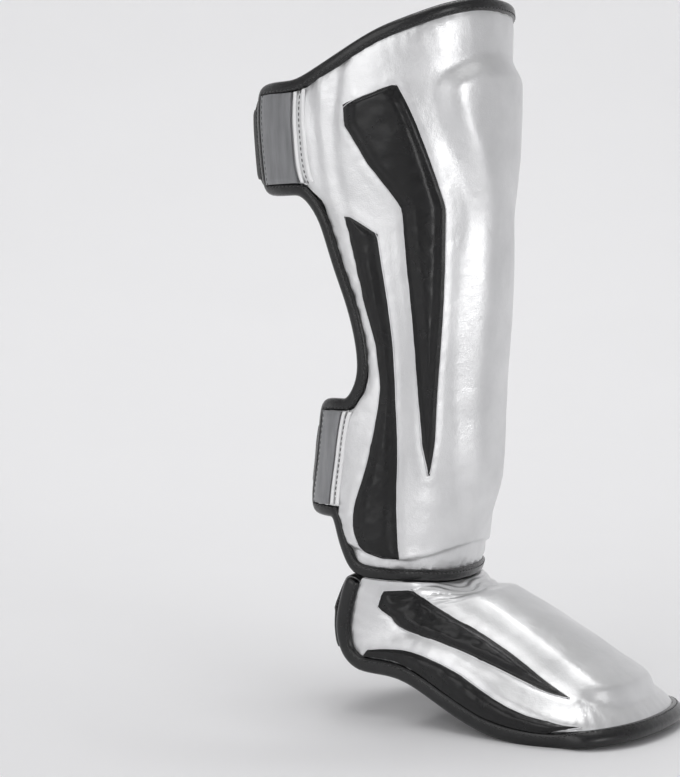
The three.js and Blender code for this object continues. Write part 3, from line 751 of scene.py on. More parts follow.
SILVER = Leather(
    "silver_leather", (0.72, 0.722, 0.727), (0.84, 0.842, 0.846), metallic=0.82,
    roughness=(0.30, 0.42), coat=0.04, grain_mm=1.3, grain_depth_mm=0.05, wave_depth_mm=0.3)
BLACK = Leather(
    "black_leather", (0.003, 0.003, 0.0032), (0.008, 0.008, 0.0085), metallic=0.0,
    roughness=(0.2, 0.3), coat=0.22, grain_mm=1.1, grain_depth_mm=0.05, wave_depth_mm=0.3,
    specular=0.3)
EDGE_TAPE = Leather(
    "binding_leather", (0.003, 0.003, 0.0032), (0.009, 0.009, 0.0095), metallic=0.0,
    roughness=(0.18, 0.28), coat=0.3, grain_mm=0.9, grain_depth_mm=0.06, wave_depth_mm=0.45,
    specular=0.4)
CUT_EDGE = Leather(
    "cut_edge", (0.62, 0.62, 0.63), (0.85, 0.85, 0.86), metallic=0.0, roughness=(0.5, 0.65),
    coat=0.0, grain_mm=0.6, grain_depth_mm=0.03, wave_depth_mm=0.1)
# Welts: raised ridges of the silver leather, whose near-white colour, lighter than the silver, is a
# painted highlight.
HIGHLIGHT_WELT = Leather(
    "welt_painted_highlight", (0.86, 0.86, 0.862), (0.93, 0.93, 0.932), metallic=0.2, roughness=(0.3, 0.4),
    coat=0.1, grain_mm=1.2, grain_depth_mm=0.03, wave_depth_mm=0.1)
TAB_SATIN = Satin("tab_satin", (0.20, 0.203, 0.21), (0.30, 0.303, 0.312))
ELASTIC = Webbing("black_elastic", (0.004, 0.004, 0.0045), (0.03, 0.03, 0.033), 1.5, 0.9)
LINING = Webbing(
    "black_lining", (0.006, 0.006, 0.0065), (0.022, 0.022, 0.024), 0.9, 0.9, roughness=0.92)
# Seam thread by the satin tabs: its dark grey colour is painted shade, the shadow in the stitch
# holes, standing in for light thread.
HOLE_SHADE_THREAD = Thread("hole_shade_thread", (0.10, 0.10, 0.102))
BLACK_THREAD = Thread("black_thread", (0.012, 0.012, 0.013))
Finish = Leather | Webbing | Satin | Thread


class Wardrobe:
    """Builds each finish once and hands out its material."""

    def __init__(self) -> None:
        """Starts empty."""
        self.made: dict[str, bpy.types.Material] = {}

    def get(self, finish: Finish) -> bpy.types.Material:
        """Material of a finish.

        Args:
            finish: the finish.

        Returns:
            Its material, made once.
        """
        if finish.name not in self.made:
            self.made[finish.name] = finish.build()
        return self.made[finish.name]


class MeshKit:
    """Makes meshes in millimetres and turns them into pieces of the frame."""

    def __init__(self) -> None:
        """Starts with no materials."""
        self.wardrobe = Wardrobe()

    def grid(self, columns: np.ndarray, rows: np.ndarray) -> bmesh.types.BMesh:
        """Flat grid whose corners carry a column and a row value.

        Args:
            columns: the column values.
            rows: the row values.

        Returns:
            The grid.
        """
        bm = bmesh.new()
        bmesh.ops.create_grid(bm, x_segments=len(columns) - 1, y_segments=len(rows) - 1, size=0.5)
        column, row = bm.verts.layers.float.new("column"), bm.verts.layers.float.new("row")
        for vert in bm.verts:
            vert[column] = columns[round((vert.co.x + 0.5) * (len(columns) - 1))]
            vert[row] = rows[round((vert.co.y + 0.5) * (len(rows) - 1))]
        return bm

    def values(self, bm: bmesh.types.BMesh, verts: Sequence[bmesh.types.BMVert]
               ) -> tuple[np.ndarray, np.ndarray]:
        """Column and row values of some corners."""
        column, row = bm.verts.layers.float["column"], bm.verts.layers.float["row"]
        return np.array([v[column] for v in verts]), np.array([v[row] for v in verts])

    def lay_pattern(self, bm: bmesh.types.BMesh, place: Place, flat: PatternMap) -> None:
        """Moves a grid's corners to their places and lays its pattern map.

        Args:
            bm: the grid.
            place: place of a column and row, in millimetres.
            flat: pattern map of a column and row, in metres.
        """
        verts = list(bm.verts)
        points = place(*self.values(bm, verts))
        for vert, point in zip(verts, points):
            vert.co = point
        self.map_pattern(bm, flat)

    def map_pattern(self, bm: bmesh.types.BMesh, flat: PatternMap) -> None:
        """Writes the pattern map from each corner's column and row.

        Args:
            bm: the mesh.
            flat: pattern map of a column and row, in metres.
        """
        column, row = bm.verts.layers.float["column"], bm.verts.layers.float["row"]
        uv = bm.loops.layers.uv.new("pattern")
        for face in bm.faces:
            for loop in face.loops:
                loop[uv].uv = flat(loop.vert[column], loop.vert[row])

    def wall(self, columns: np.ndarray, rows: np.ndarray, outer: Place, inner: Place,
             flat: PatternMap = lambda column, row: (column * 0.01, row * 0.01),
             keep: Callable[[float, float], bool] | None = None, lined: bool = False
             ) -> bmesh.types.BMesh:
        """Closed wall between an outer and an inner face.

        Args:
            columns: column values of the grid.
            rows: row values of the grid.
            outer: places of the outer corners.
            inner: places of the inner corners.
            flat: pattern map of a column and row, in metres.
            keep: says whether a cell belongs to the wall, by its middle.
            lined: whether the inner faces have a finish of their own, as material 1.

        Returns:
            The wall.
        """
        bm = self.grid(columns, rows)
        column, row = bm.verts.layers.float["column"], bm.verts.layers.float["row"]
        if keep:
            gone = [face for face in bm.faces
                    if not keep(sum(v[column] for v in face.verts) / 4,
                                sum(v[row] for v in face.verts) / 4)]
            bmesh.ops.delete(bm, geom=gone, context="FACES")
        front = list(bm.verts)
        whole = bm.faces[:] + bm.edges[:] + bm.verts[:]
        made = bmesh.ops.extrude_face_region(bm, geom=whole, use_keep_orig=True)
        back = [v for v in made["geom"] if isinstance(v, bmesh.types.BMVert)]
        for verts, place in ((front, outer), (back, inner)):
            for vert, point in zip(verts, place(*self.values(bm, verts))):
                vert.co = point
        if lined:
            behind = set(back)
            for face in bm.faces:
                face.material_index = int(all(v in behind for v in face.verts))
        bmesh.ops.recalc_face_normals(bm, faces=bm.faces[:])
        self.map_pattern(bm, flat)
        return bm

    def tube(self, rings: np.ndarray, closed: bool) -> bmesh.types.BMesh:
        """Closed body through rings of points.

        Args:
            rings: points of each ring, ring by ring.
            closed: whether the last ring joins the first.

        Returns:
            The body, with a pattern map along and round it.
        """
        count, size = rings.shape[:2]
        spans = count if closed else count - 1
        bm = self.grid(np.arange(size + 1.0), np.arange(spans + 1.0))
        centres = rings.mean(axis=1)
        steps = np.linalg.norm(np.roll(centres, -1, axis=0) - centres, axis=1)
        run = np.concatenate([[0.0], np.cumsum(steps)])

        def place(column: np.ndarray, row: np.ndarray) -> np.ndarray:
            """Ring point of a grid corner."""
            return rings[row.round().astype(int) % count, column.round().astype(int) % size]

        def flat(column: float, row: float) -> tuple[float, float]:
            """Pattern map, along the rings and round them."""
            return run[int(round(row))] * MILLIMETRE, column * MILLIMETRE * 2

        self.lay_pattern(bm, place, flat)
        bmesh.ops.remove_doubles(bm, verts=bm.verts[:], dist=1e-4)
        if not closed:
            bmesh.ops.holes_fill(bm, edges=[e for e in bm.edges if e.is_boundary], sides=0)
        bmesh.ops.recalc_face_normals(bm, faces=bm.faces[:])
        return bm

    def add(self, name: str, bm: bmesh.types.BMesh, finishes: Sequence[Finish], slot: str,
            replaces: Sequence[str] = (), levels: int = 0, sharp: float = 50.0
            ) -> bpy.types.Object:
        """Makes a piece of a mesh and lets it ride on the frame.

        Args:
            name: the piece's name.
            bm: its mesh in millimetres above the floor, which is used up.
            finishes: its finishes, by material number.
            slot: not used.
            replaces: nodes that it stands for.
            levels: rounds of smooth subdivision.
            sharp: degrees between faces past which an edge stays crisp.

        Returns:
            The piece.
        """
        limit = math.radians(sharp)
        for edge in bm.edges:
            folded = len(edge.link_faces) == 2 and edge.calc_face_angle(0.0) > limit
            edge.smooth = not folded
        for face in bm.faces:
            face.smooth = True
        bmesh.ops.translate(bm, vec=(0, 0, -SEAT_HEIGHT), verts=bm.verts[:])
        bmesh.ops.scale(bm, vec=(MILLIMETRE,) * 3, verts=bm.verts[:])
        mesh = bpy.data.meshes.new(name)
        bm.to_mesh(mesh)
        bm.free()
        piece = bpy.data.objects.new(name, mesh)
        bpy.context.scene.collection.objects.link(piece)
        for finish in finishes:
            mesh.materials.append(self.wardrobe.get(finish))
        if levels:
            smooth = piece.modifiers.new("Smooth", "SUBSURF")
            smooth.levels = smooth.render_levels = levels
        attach(piece, "root")
        if replaces:
            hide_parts(*replaces)
        LOG.info("%s: %d faces", name, len(mesh.polygons))
        return piece

    def surface_of(self, piece: bpy.types.Object) -> BVHTree:
        """Search tree of a piece's finished surface, in metres."""
        bpy.context.view_layer.update()
        return BVHTree.FromObject(piece, bpy.context.evaluated_depsgraph_get())


def measured(path: np.ndarray, closed: bool, pitch: float) -> np.ndarray:
    """Points at an even pitch along a path.

    Args:
        path: points in millimetres.
        closed: whether the path returns to its start.
        pitch: distance between the points.

    Returns:
        The points.
    """
    line = np.vstack([path, path[:1]]) if closed else path
    run = np.concatenate([[0.0], np.cumsum(np.linalg.norm(np.diff(line, axis=0), axis=1))])
    count = max(int(run[-1] / pitch), 2)
    at = np.linspace(0, run[-1], count, endpoint=not closed)
    return np.stack([np.interp(at, run, line[:, k]) for k in range(3)], -1)


@dataclass(frozen=True)
class Stitching:
    """Rows of single stitches that lie on a surface, with sizes in millimetres.

    Half a stitch's thickness is the thread's width over the flatness, and the lift is a
    share of that width.
    """

    kit: MeshKit
    pitch: float = 3.9
    length: float = 2.9
    thread: float = 0.75
    flatness: float = 2.4
    lift: float = 0.1

    def seat(self, point: np.ndarray, seam: np.ndarray, on: BVHTree) -> Matrix:
        """Place, turn and size of one stitch.

        Args:
            point: its place, in millimetres near the surface.
            seam: direction of the seam there.
            on: the surface, in metres.

        Returns:
            The matrix that lays a ball of radius one as the stitch.
        """
        where = Vector((point[0], point[1], point[2] - SEAT_HEIGHT)) * MILLIMETRE
        hit, normal, _, _ = on.find_nearest(where)
        along = Vector(seam)
        along = (along - normal * along.dot(normal)).normalized()
        side = normal.cross(along).normalized()
        turn = Matrix((along, side, normal)).transposed().to_4x4()
        radii = (self.length / 2, self.thread / 2, self.thread / self.flatness, 1.0)
        spot = Vector((hit.x / MILLIMETRE, hit.y / MILLIMETRE, hit.z / MILLIMETRE + SEAT_HEIGHT))
        lifted = Matrix.Translation(spot + normal * self.thread * self.lift)
        upright = Matrix.Rotation(math.pi / 2, 4, "Y")
        return lifted @ turn @ Matrix.Diagonal(radii) @ upright

    def sew(self, name: str, rows: Sequence[tuple[np.ndarray, bool]], on: BVHTree,
            finish: Finish, slot: str) -> None:
        """Sews rows of stitches.

        Args:
            name: the piece's name.
            rows: paths in millimetres near the surface, and whether each is closed.
            on: the surface, in metres.
            finish: the thread's finish.
            slot: handed on to the kit's add.
        """
        bm = bmesh.new()
        for path, closed in rows:
            points = measured(path, closed, self.pitch)
            last = len(points) - 1
            for k, point in enumerate(points):
                after = points[(k + 1) % len(points) if closed else min(k + 1, last)]
                before = points[k - 1] if closed or k else points[0]
                seat = self.seat(point, after - before, on)
                bmesh.ops.create_uvsphere(bm, u_segments=4, v_segments=6, radius=1.0, matrix=seat)
        self.kit.add(name, bm, [finish], slot, sharp=120.0)


@dataclass(frozen=True)
class Inlay:
    """Black puffed panel on a surface, with sizes in millimetres.

    The table holds the turns of its back and front side at each height or station, and
    scale turns those keys into the surface's own. Puff is how far it swells inside its
    border, wrinkle how far it crumples, and hem how far its cut edge sinks at the back,
    where the binding laps over it.
    """

    name: str
    table: Table
    scale: float
    puff: float
    border: float = 2.6
    wrinkle: float = 0.35
    rounding: float = 7.0
    lift: float = 0.75
    least: float = 0.3
    sunk: float = 0.8
    hem: float = 0.0
    across: int = 26
    along: int = 120

    def corners(self, s: np.ndarray, t: np.ndarray) -> tuple[np.ndarray, np.ndarray]:
        """Turn and key at a share across and a share along the panel.

        Args:
            s: share across, from the back to the front.
            t: share along, from the first key.

        Returns:
            The turns, and the keys in the surface's own measure.
        """
        keys = self.table.rows[:, 0]
        at = mixed(keys[0], keys[-1], t)
        back = np.interp(at, keys, self.table.rows[:, 1])
        front = np.interp(at, keys, self.table.rows[:, 2])
        return mixed(back, front, s), at * self.scale

    def outline(self, point: SurfacePoint, sign: int, depth: float) -> np.ndarray:
        """Closed path round the panel at a depth on the surface.

        Args:
            point: the surface.
            sign: which way angles turn on its side.
            depth: millimetres over the surface.

        Returns:
            The path's points.
        """
        share = np.linspace(0, 1, 60)
        end = np.linspace(0, 1, 8)
        s = np.concatenate([0 * share, end[1:-1], 1 + 0 * share, end[::-1][1:-1]])
        t = np.concatenate([share, 1 + 0 * end[1:-1], share[::-1], 0 * end[1:-1]])
        turn, at = self.corners(s, t)
        return point(sign * turn, at, depth - np.where(s < 0.5, self.hem, 0.0))


def mirrored_columns(parts: Sequence[tuple[int, int, int]], half: int) -> np.ndarray:
    """Columns of a wall, the same on both sides of its middle.

    Args:
        parts: first and last column of each part of one side, and its number of cells.
        half: the middle column.

    Returns:
        The column values.
    """
    left = np.concatenate([np.linspace(a, b, n, endpoint=False) for a, b, n in parts])
    return np.concatenate([left, [half], (2 * half - left)[::-1]])


def walked(stops: Sequence[tuple[int, int]], finer: int) -> tuple[list[float], list[float]]:
    """Columns and rows on the way from stop to stop, without the last stop.

    Args:
        stops: columns and rows of the corners of the way.
        finer: steps for each cell.

    Returns:
        The columns and the rows.
    """
    columns, rows = [], []
    for (c0, r0), (c1, r1) in zip(stops, stops[1:]):
        steps = (abs(c1 - c0) + abs(r1 - r0)) * finer
        for k in range(steps):
            columns.append(c0 + (c1 - c0) * k / steps)
            rows.append(r0 + (r1 - r0) * k / steps)
    return columns, rows


@dataclass(kw_only=True)
class Wall:
    """Shared making of a padded wall: relief, puckers at its rim and dents round its inlays.

    Draws are depths, and pitches and reaches are lengths along the leather, all in
    millimetres. The binding's profile is in shares of its width and of its own half
    thickness, the lap share is one of that half thickness, and a chunk is how many places
    are measured at once.
    """

    kit: MeshKit
    inlays: tuple[Inlay, ...] = ()
    rim_draw: float = 1.5
    rim_reach: float = 3.0
    pucker_draw: float = 0.55
    pucker_pitch: float = 9.5
    pucker_reach: float = 8.0
    dent_rise: float = 0.35
    dent_away: float = 3.5
    dent_spread: float = 3.0
    ripple_draw: float = 0.25
    ripple_pitch: float = 13.0
    ripple_reach: float = 5.0
    binding_roll: float = 1.1
    binding_lap: float = 1.0
    binding_profile: tuple[tuple[float, float], ...] = ((0.3, 1.14), (0.86, 1.0), (1.16, 0.5))
    lap_share: float = 0.86
    chunk: int = 2000

    def nearest(self, points: np.ndarray, path: np.ndarray) -> tuple[np.ndarray, np.ndarray]:
        """Distance to a path and how far along it the nearest point is.

        Args:
            points: places in millimetres.
            path: the closed path's points.

        Returns:
            The distances, and the lengths along the path.
        """
        steps = np.linalg.norm(np.diff(path, axis=0, append=path[:1]), axis=1)
        run = np.concatenate([[0.0], np.cumsum(steps)[:-1]])
        far, at = np.empty(len(points)), np.empty(len(points))
        for first in range(0, len(points), self.chunk):
            part = points[first:first + self.chunk]
            apart = np.linalg.norm(part[:, None, :] - path[None, :, :], axis=2)
            index = apart.argmin(axis=1)
            far[first:first + self.chunk] = apart[np.arange(len(part)), index]
            at[first:first + self.chunk] = run[index]
        return far, at

    def worked(self, points: np.ndarray, rim: np.ndarray, dents: Sequence[np.ndarray]
               ) -> np.ndarray:
        """How far sewing draws the leather in or out, in millimetres.

        Args:
            points: places on the wall.
            rim: closed path of the wall's rim.
            dents: closed paths of the inlays on it.

        Returns:
            Depths to add, negative inwards.
        """
        far, at = self.nearest(points, rim)
        drift = rumple(points, (14, 14, 14), 3.1)
        pucker = 0.5 + 0.5 * np.sin(2 * np.pi * at / self.pucker_pitch + 3.2 * drift)
        depth = -self.rim_draw * np.exp(-far / self.rim_reach)
        depth = depth - self.pucker_draw * pucker * np.exp(-far / self.pucker_reach)
        for path in dents:
            near, where = self.nearest(points, path)
            ripple = 0.5 + 0.5 * np.sin(2 * np.pi * where / self.ripple_pitch + 2.5 * drift)
            rise = self.dent_rise * np.exp(-((near - self.dent_away) / self.dent_spread) ** 2)
            depth = depth + rise - self.ripple_draw * ripple * np.exp(-near / self.ripple_reach)
        broad, fine = rumple(points, (38, 38, 60), 7.7), rumple(points, (11, 11, 16), 1.3)
        return depth + (0.45 * broad + 0.16 * fine)

    def add_inlay(self, inlay: Inlay, side: str, point: SurfacePoint, sign: int) -> None:
        """Makes an inlay and the cut edge round it.

        Args:
            inlay: what it is.
            side: the guard's side.
            point: surface that it lies on.
            sign: which way angles turn on that side.
        """
        cross = 0.5 - 0.5 * np.cos(np.pi * np.linspace(0, 1, inlay.across + 1))
        length = np.linspace(0, 1, inlay.along + 1)

        def corner(s: np.ndarray, t: np.ndarray, depth: np.ndarray) -> np.ndarray:
            """Point of the panel at a depth on the surface."""
            turn, at = inlay.corners(s, t)
            return point(sign * turn, at, depth)

        def outer(s: np.ndarray, t: np.ndarray) -> np.ndarray:
            """Puffed face inside a flat border.

            Args:
                s: share across, from the back to the front.
                t: share along, from the first key.

            Returns:
                Points in millimetres.
            """
            level = 0 * s
            base = corner(s, t, level)
            width = np.linalg.norm(corner(0 * s, t, level) - corner(0 * s + 1, t, level), axis=1)
            from_foot = np.linalg.norm(base - corner(s, 0 * t, level), axis=1)
            from_top = np.linalg.norm(base - corner(s, 0 * t + 1, level), axis=1)
            from_sides = np.minimum(s * width, (1 - s) * width)
            edge = np.minimum(from_sides, np.minimum(from_foot, from_top))
            swell = eased((edge - inlay.border) / inlay.rounding) ** 0.8
            crumple = rumple(base, (10, 10, 8), 5.5) + 0.4 * rumple(base, (4, 4, 4), 2.2)
            wrinkle = inlay.wrinkle * crumple * (0.25 + swell)
            return corner(s, t, np.maximum(inlay.lift + inlay.puff * swell + wrinkle, inlay.least))

        def inner(s: np.ndarray, t: np.ndarray) -> np.ndarray:
            """Face sunk in the wall."""
            return corner(s, t, np.full(len(s), -inlay.sunk))

        name = f"{inlay.name}_{side}"
        bm = self.kit.wall(cross, length, outer, inner)
        piece = self.kit.add(f"{name}_panel", bm, [BLACK], "black_leather", [name])
        self.add_cut_edge(f"{name}_cut_edge", inlay.outline(point, sign, inlay.least))

    def add_cut_edge(self, name: str, path: np.ndarray, radius: float = 0.6,
                     pitch: float = 4.0) -> None:
        """Thin light edge where the outer leather is cut round an inlay.

        Args:
            name: the piece's name.
            path: closed path of the edge.
            radius: half its width.
            pitch: distance between its rings.
        """
        line = measured(path, True, pitch)
        along = unit(np.roll(line, -1, axis=0) - np.roll(line, 1, axis=0))
        out = unit(line * np.array([1.0, 1.0, 0.0]) + np.array([20.0, 0.0, 30.0]))
        side = unit(np.cross(along, out))
        up = np.cross(side, along)
        turns = np.linspace(0, 2 * np.pi, 6, endpoint=False)
        rings = [line + radius * (np.cos(a) * side + np.sin(a) * up) for a in turns]
        bm = self.kit.tube(np.stack(rings, axis=1), True)
        self.kit.add(name, bm, [CUT_EDGE], "silver_leather", sharp=100.0)

    def binding_rings(self, outer: np.ndarray, inner: np.ndarray, closed: bool, width: float
                      ) -> np.ndarray:
        """Rings of the rolled binding along a wall's rim.

        Args:
            outer: rim points on the outer face.
            inner: rim points on the inner face.
            closed: whether the rim is a loop.
            width: how far the binding reaches past the rim.

        Returns:
            The rings.
        """
        middle = (outer + inner) / 2
        before = unit(middle - np.roll(middle, 1, axis=0))
        after = unit(np.roll(middle, -1, axis=0) - middle)
        if not closed:
            before[0], after[-1] = after[0], before[-1]
        along = unit(before + after)
        through = outer - inner
        half = np.linalg.norm(through, axis=1, keepdims=True) / 2
        normal = through / (2 * half)
        away = unit(np.cross(along, normal))
        mitre = 1 / np.maximum(np.sum(before * along, axis=1, keepdims=True), 0.8)
        proud = half + self.binding_roll
        under = [(-self.binding_lap, -self.lap_share)]
        under += [(x * width, -y) for x, y in self.binding_profile]
        shape = under + [(x, -y) for x, y in reversed(under)]
        rings = [middle + away * mitre * x + normal * proud * y for x, y in shape]
        return np.stack(rings, axis=1)


SIDE_FLASH = Inlay("side_flash", Table(
    "height back front",
    (0.345, 48.2, 47.0), (0.389, 53.8, 44.8), (0.471, 56.9, 43.3), (0.554, 59.5, 41.6),
    (0.637, 61.9, 40.4), (0.715, 63.0, 39.7), (0.775, 77.3, 47.3), (0.831, 86.4, 54.4),
    (0.860, 86.2, 58.6), (0.884, 65.5, 62.8)),
    scale=GUARD_HEIGHT, puff=2.9, along=150)
REAR_FLASH = Inlay("rear_flash", Table(
    "height back front",
    (0.228, 71.0, 60.5), (0.236, 83.0, 61.3), (0.250, 88.5, 62.5), (0.272, 91.8, 64.3),
    (0.300, 92.0, 66.1), (0.330, 90.0, 67.5), (0.387, 85.4, 68.8), (0.443, 80.2, 69.4),
    (0.471, 78.5, 69.5), (0.526, 80.0, 70.2), (0.581, 84.2, 72.0), (0.637, 86.8, 74.1),
    (0.680, 88.4, 75.3), (0.705, 89.6, 87.4)),
    scale=GUARD_HEIGHT, puff=1.6, wrinkle=0.45, along=150)
FOOT_FLASH = Inlay("instep_flash", Table(
    "station back front",
    (0.065, 71, 52), (0.12, 74, 46), (0.20, 68.5, 45), (0.28, 68.5, 44), (0.38, 67.5, 43.5),
    (0.48, 65.5, 43), (0.61, 59.5, 42.5), (0.71, 53.5, 42), (0.78, 49, 41.5), (0.83, 42.5, 41)),
    scale=1.0, puff=3.4, border=2.2, wrinkle=1.0)
FOOT_CORNER = Inlay("instep_corner", Table(
    "station back front",
    (0.34, 89.8, 87.5), (0.45, 89.8, 82), (0.53, 89.8, 79.5), (0.64, 89.8, 76),
    (0.77, 89.8, 75.5), (0.87, 89.8, 74.5), (0.95, 89.8, 68), (0.98, 89.8, 60)),
    scale=1.0, puff=1.4, border=1.2, wrinkle=0.6, hem=3.0)


@dataclass(kw_only=True)
class ShinPart(Wall):
    """Padded shin wall with its raised pad, inlays, binding and stitches.

    Depths, rises and lengths are in millimetres, the seam's height in a share of the
    guard's, and turns in degrees. Column parts name the first and last column of a part
    and its fine cells, and band cells the fine rows of each band.
    """

    form: LegForm
    inlays: tuple[Inlay, ...] = (SIDE_FLASH, REAR_FLASH)
    wall_depth: float = 12.0
    wing_depth: float = 5.0
    edge_depth: float = 5.5
    pad_rise: float = 7.0
    pad_taper: float = 45.0
    soft_side: float = 19.0
    softer_side: float = 27.0
    soft_top: float = 18.0
    soft_foot: float = 7.0
    fold_rise: float = 2.6
    fold_reach: float = 60.0
    upright_turn: float = 99.0
    upright_draw: float = 0.5
    seam_turn: float = 91.5
    seam_height: float = 0.79
    seam_draw: float = 1.0
    crinkle_draw: float = 0.9
    fold_draw: float = 0.7
    column_parts: tuple[tuple[int, int, int], ...] = (
        (0, 3, 15), (3, 10, 42), (10, 11, 6), (11, 14, 14))
    band_cells: tuple[int, ...] = (8, 6, 6, 30, 52, 34, 6, 14)
    piece: bpy.types.Object | None = None

    def keep(self, column: float, row: float) -> bool:
        """Whether a cell belongs to the wall: beyond the rear edge only where the wings are.

        Args:
            column: the cell's middle.
            row: the cell's middle.

        Returns:
            Whether it stays.
        """
        form = self.form
        cell = min(column, 2 * form.half - column)
        if cell > form.wing_cells:
            return True
        in_lower = form.row_at("lower_wing_foot") < row < form.row_at("lower_wing_top")
        return in_lower or row > form.row_at("upper_wing_foot")

    def rim(self, finer: int = 1) -> tuple[np.ndarray, np.ndarray]:
        """Columns and rows of the wall's rim as a loop, from the lower near corner.

        Args:
            finer: steps for each cell.

        Returns:
            The columns and the rows.
        """
        form = self.form
        full, wing = 2 * form.half, form.wing_cells
        low, high = form.row_at("lower_wing_foot"), form.row_at("lower_wing_top")
        upper = form.row_at("upper_wing_foot")
        right = [(full - wing, 0), (full - wing, low), (full, low), (full, high),
                 (full - wing, high), (full - wing, upper), (full, upper), (full, form.rows)]
        left = [(full - column, row) for column, row in reversed(right)]
        columns, rows = walked(right + left + right[:1], finer)
        return np.array(columns, float), np.array(rows, float)

    def relief(self, angle: np.ndarray, height: np.ndarray) -> np.ndarray:
        """Height of the raised middle pad and of the fold above the lower edge.

        Args:
            angle: degrees from the front.
            height: millimetres above the floor.

        Returns:
            Millimetres over the skin.
        """
        form = self.form
        share = height / form.height
        reach = form.edges.read("pad", share)
        side = (reach - np.abs(angle)) * math.radians(1) * form.width / 2
        top = form.limit("pad_top", angle) - height
        foot = height - form.limit("pad_foot", angle)
        middle = eased((share - 0.3) / 0.1) * eased((0.86 - share) / 0.1)
        soft = mixed(self.soft_side, self.softer_side, middle)
        over = eased((side + 4.0) / soft) * eased((top + 0.5) / self.soft_top)
        over = over * eased((foot + 0.5) / self.soft_foot)
        crown = 1 - np.clip(np.abs(angle) / np.maximum(reach, 1), 0, 1) ** 2
        bulge = self.fold_rise * eased(foot / 3.2) * np.exp(-np.maximum(foot, 0) / self.fold_reach)
        taper = np.clip(foot / self.pad_taper, 0, 1)
        return self.pad_rise * over * taper * (0.9 + 0.14 * crown) + bulge

    def thickness(self, column: np.ndarray, row: np.ndarray) -> np.ndarray:
        """Wall thickness: full inside, thinner in the wings and along the edges.

        Args:
            column: columns from the near wing's end.
            row: rows from the bottom.

        Returns:
            Millimetres.
        """
        form = self.form
        steps = np.abs(column - form.half)
        from_edge = np.minimum(np.minimum(row, form.rows - row), form.rear_column - steps)
        full = mixed(self.edge_depth, self.wall_depth, np.clip(from_edge / 2, 0, 1))
        return np.where(steps >= form.rear_column, self.wing_depth, full)

    def creases(self, points: np.ndarray, angle: np.ndarray, height: np.ndarray) -> np.ndarray:
        """Soft folds, in millimetres.

        Upright ones and a seam line run before the upper wings, and crinkles round the
        strip over the lower edge.

        Args:
            points: places on the wall.
            angle: their angles.
            height: their heights.

        Returns:
            Depths to add, negative inwards.
        """
        form = self.form
        share = height / form.height
        turn = np.abs(angle)
        upper = np.exp(-((turn - self.upright_turn) / 9) ** 2) * eased((share - 0.68) / 0.08)
        drift = rumple(points, (30, 30, 70), 9.4)
        upright = self.upright_draw * np.sin(turn * 0.62 + 3 * drift) * upper
        line = self.seam_turn - 300 * (share - self.seam_height) ** 2
        seam = -self.seam_draw * np.exp(-((turn - line) / 2.0) ** 2) * eased((share - 0.69) / 0.08)
        strip = form.limit("pad_foot", angle) - height
        crinkle = self.crinkle_draw * rumple(points, (7, 7, 14), 4.4) * eased(strip / 3.0)
        lower = self.fold_draw * rumple(points, (26, 26, 9), 6.1)
        return upright + seam + crinkle + lower * np.exp(-np.maximum(-strip, 0) / 40)

    def make(self) -> None:
        """Makes the wall, its inlays, binding and stitches."""
        form = self.form
        columns = mirrored_columns(self.column_parts, form.half)
        rows = np.concatenate([
            np.linspace(form.row_at(name), form.row_at(name) + cells, count, endpoint=False)
            for (name, _, cells), count in zip(form.bands, self.band_cells)] + [[form.rows]])
        rim = form.surface(*form.place(*self.rim(8)))
        dents = [inlay.outline(form.point, sign, 0.0)
                 for inlay in self.inlays for sign in SIDES.values()]

        def outer(column: np.ndarray, row: np.ndarray) -> np.ndarray:
            """Leather face.

            Args:
                column: columns of the wall.
                row: rows of the wall.

            Returns:
                Points in millimetres.
            """
            angle, height = form.place(column, row)
            base = form.surface(angle, height)
            depth = self.relief(angle, height) + self.worked(base, rim, dents)
            return form.point(angle, height, depth + self.creases(base, angle, height))

        def inner(column: np.ndarray, row: np.ndarray) -> np.ndarray:
            """Lining face.

            Args:
                column: columns of the wall.
                row: rows of the wall.

            Returns:
                Points in millimetres.
            """
            angle, height = form.place(column, row)
            uneven = 0.3 * rumple(form.surface(angle, height), (22, 22, 30), 8.8)
            return form.point(angle, height, -self.thickness(column, row) + uneven)

        bm = self.kit.wall(columns, rows, outer, inner, lambda c, r: (c * 0.012, r * 0.018),
                           self.keep, lined=True)
        self.piece = self.kit.add("shin_padding", bm, [SILVER, LINING], "silver_leather",
                                  ["shin_shell"])
        for side, sign in SIDES.items():
            for inlay in self.inlays:
                self.add_inlay(inlay, side, self.on_wall, sign)
        self.add_binding()

    def on_wall(self, angle: np.ndarray, height: np.ndarray, depth: np.ndarray) -> np.ndarray:
        """Point over the wall's relief."""
        return self.form.point(angle, height, depth + self.relief(angle, height))

    def add_binding(self) -> None:
        """Rolled binding round the wall, with its stitches."""
        form = self.form
        column, row = self.rim()
        angle, height = form.place(column, row)
        outer = form.point(angle, height, 0 * angle)
        inner = form.point(angle, height, -self.thickness(column, row))
        rings = self.binding_rings(outer, inner, True, form.trim)
        piece = self.kit.add("shin_edge_binding", self.kit.tube(rings, True), [EDGE_TAPE],
                             "binding", ["shin_binding"], levels=2, sharp=180.0)
        path = rings[:, 7] * 0.62 + rings[:, 6] * 0.38 + unit(outer - inner) * 4
        Stitching(self.kit).sew("shin_binding_stitches", [(path, True)],
                                self.kit.surface_of(piece), BLACK_THREAD, "binding")


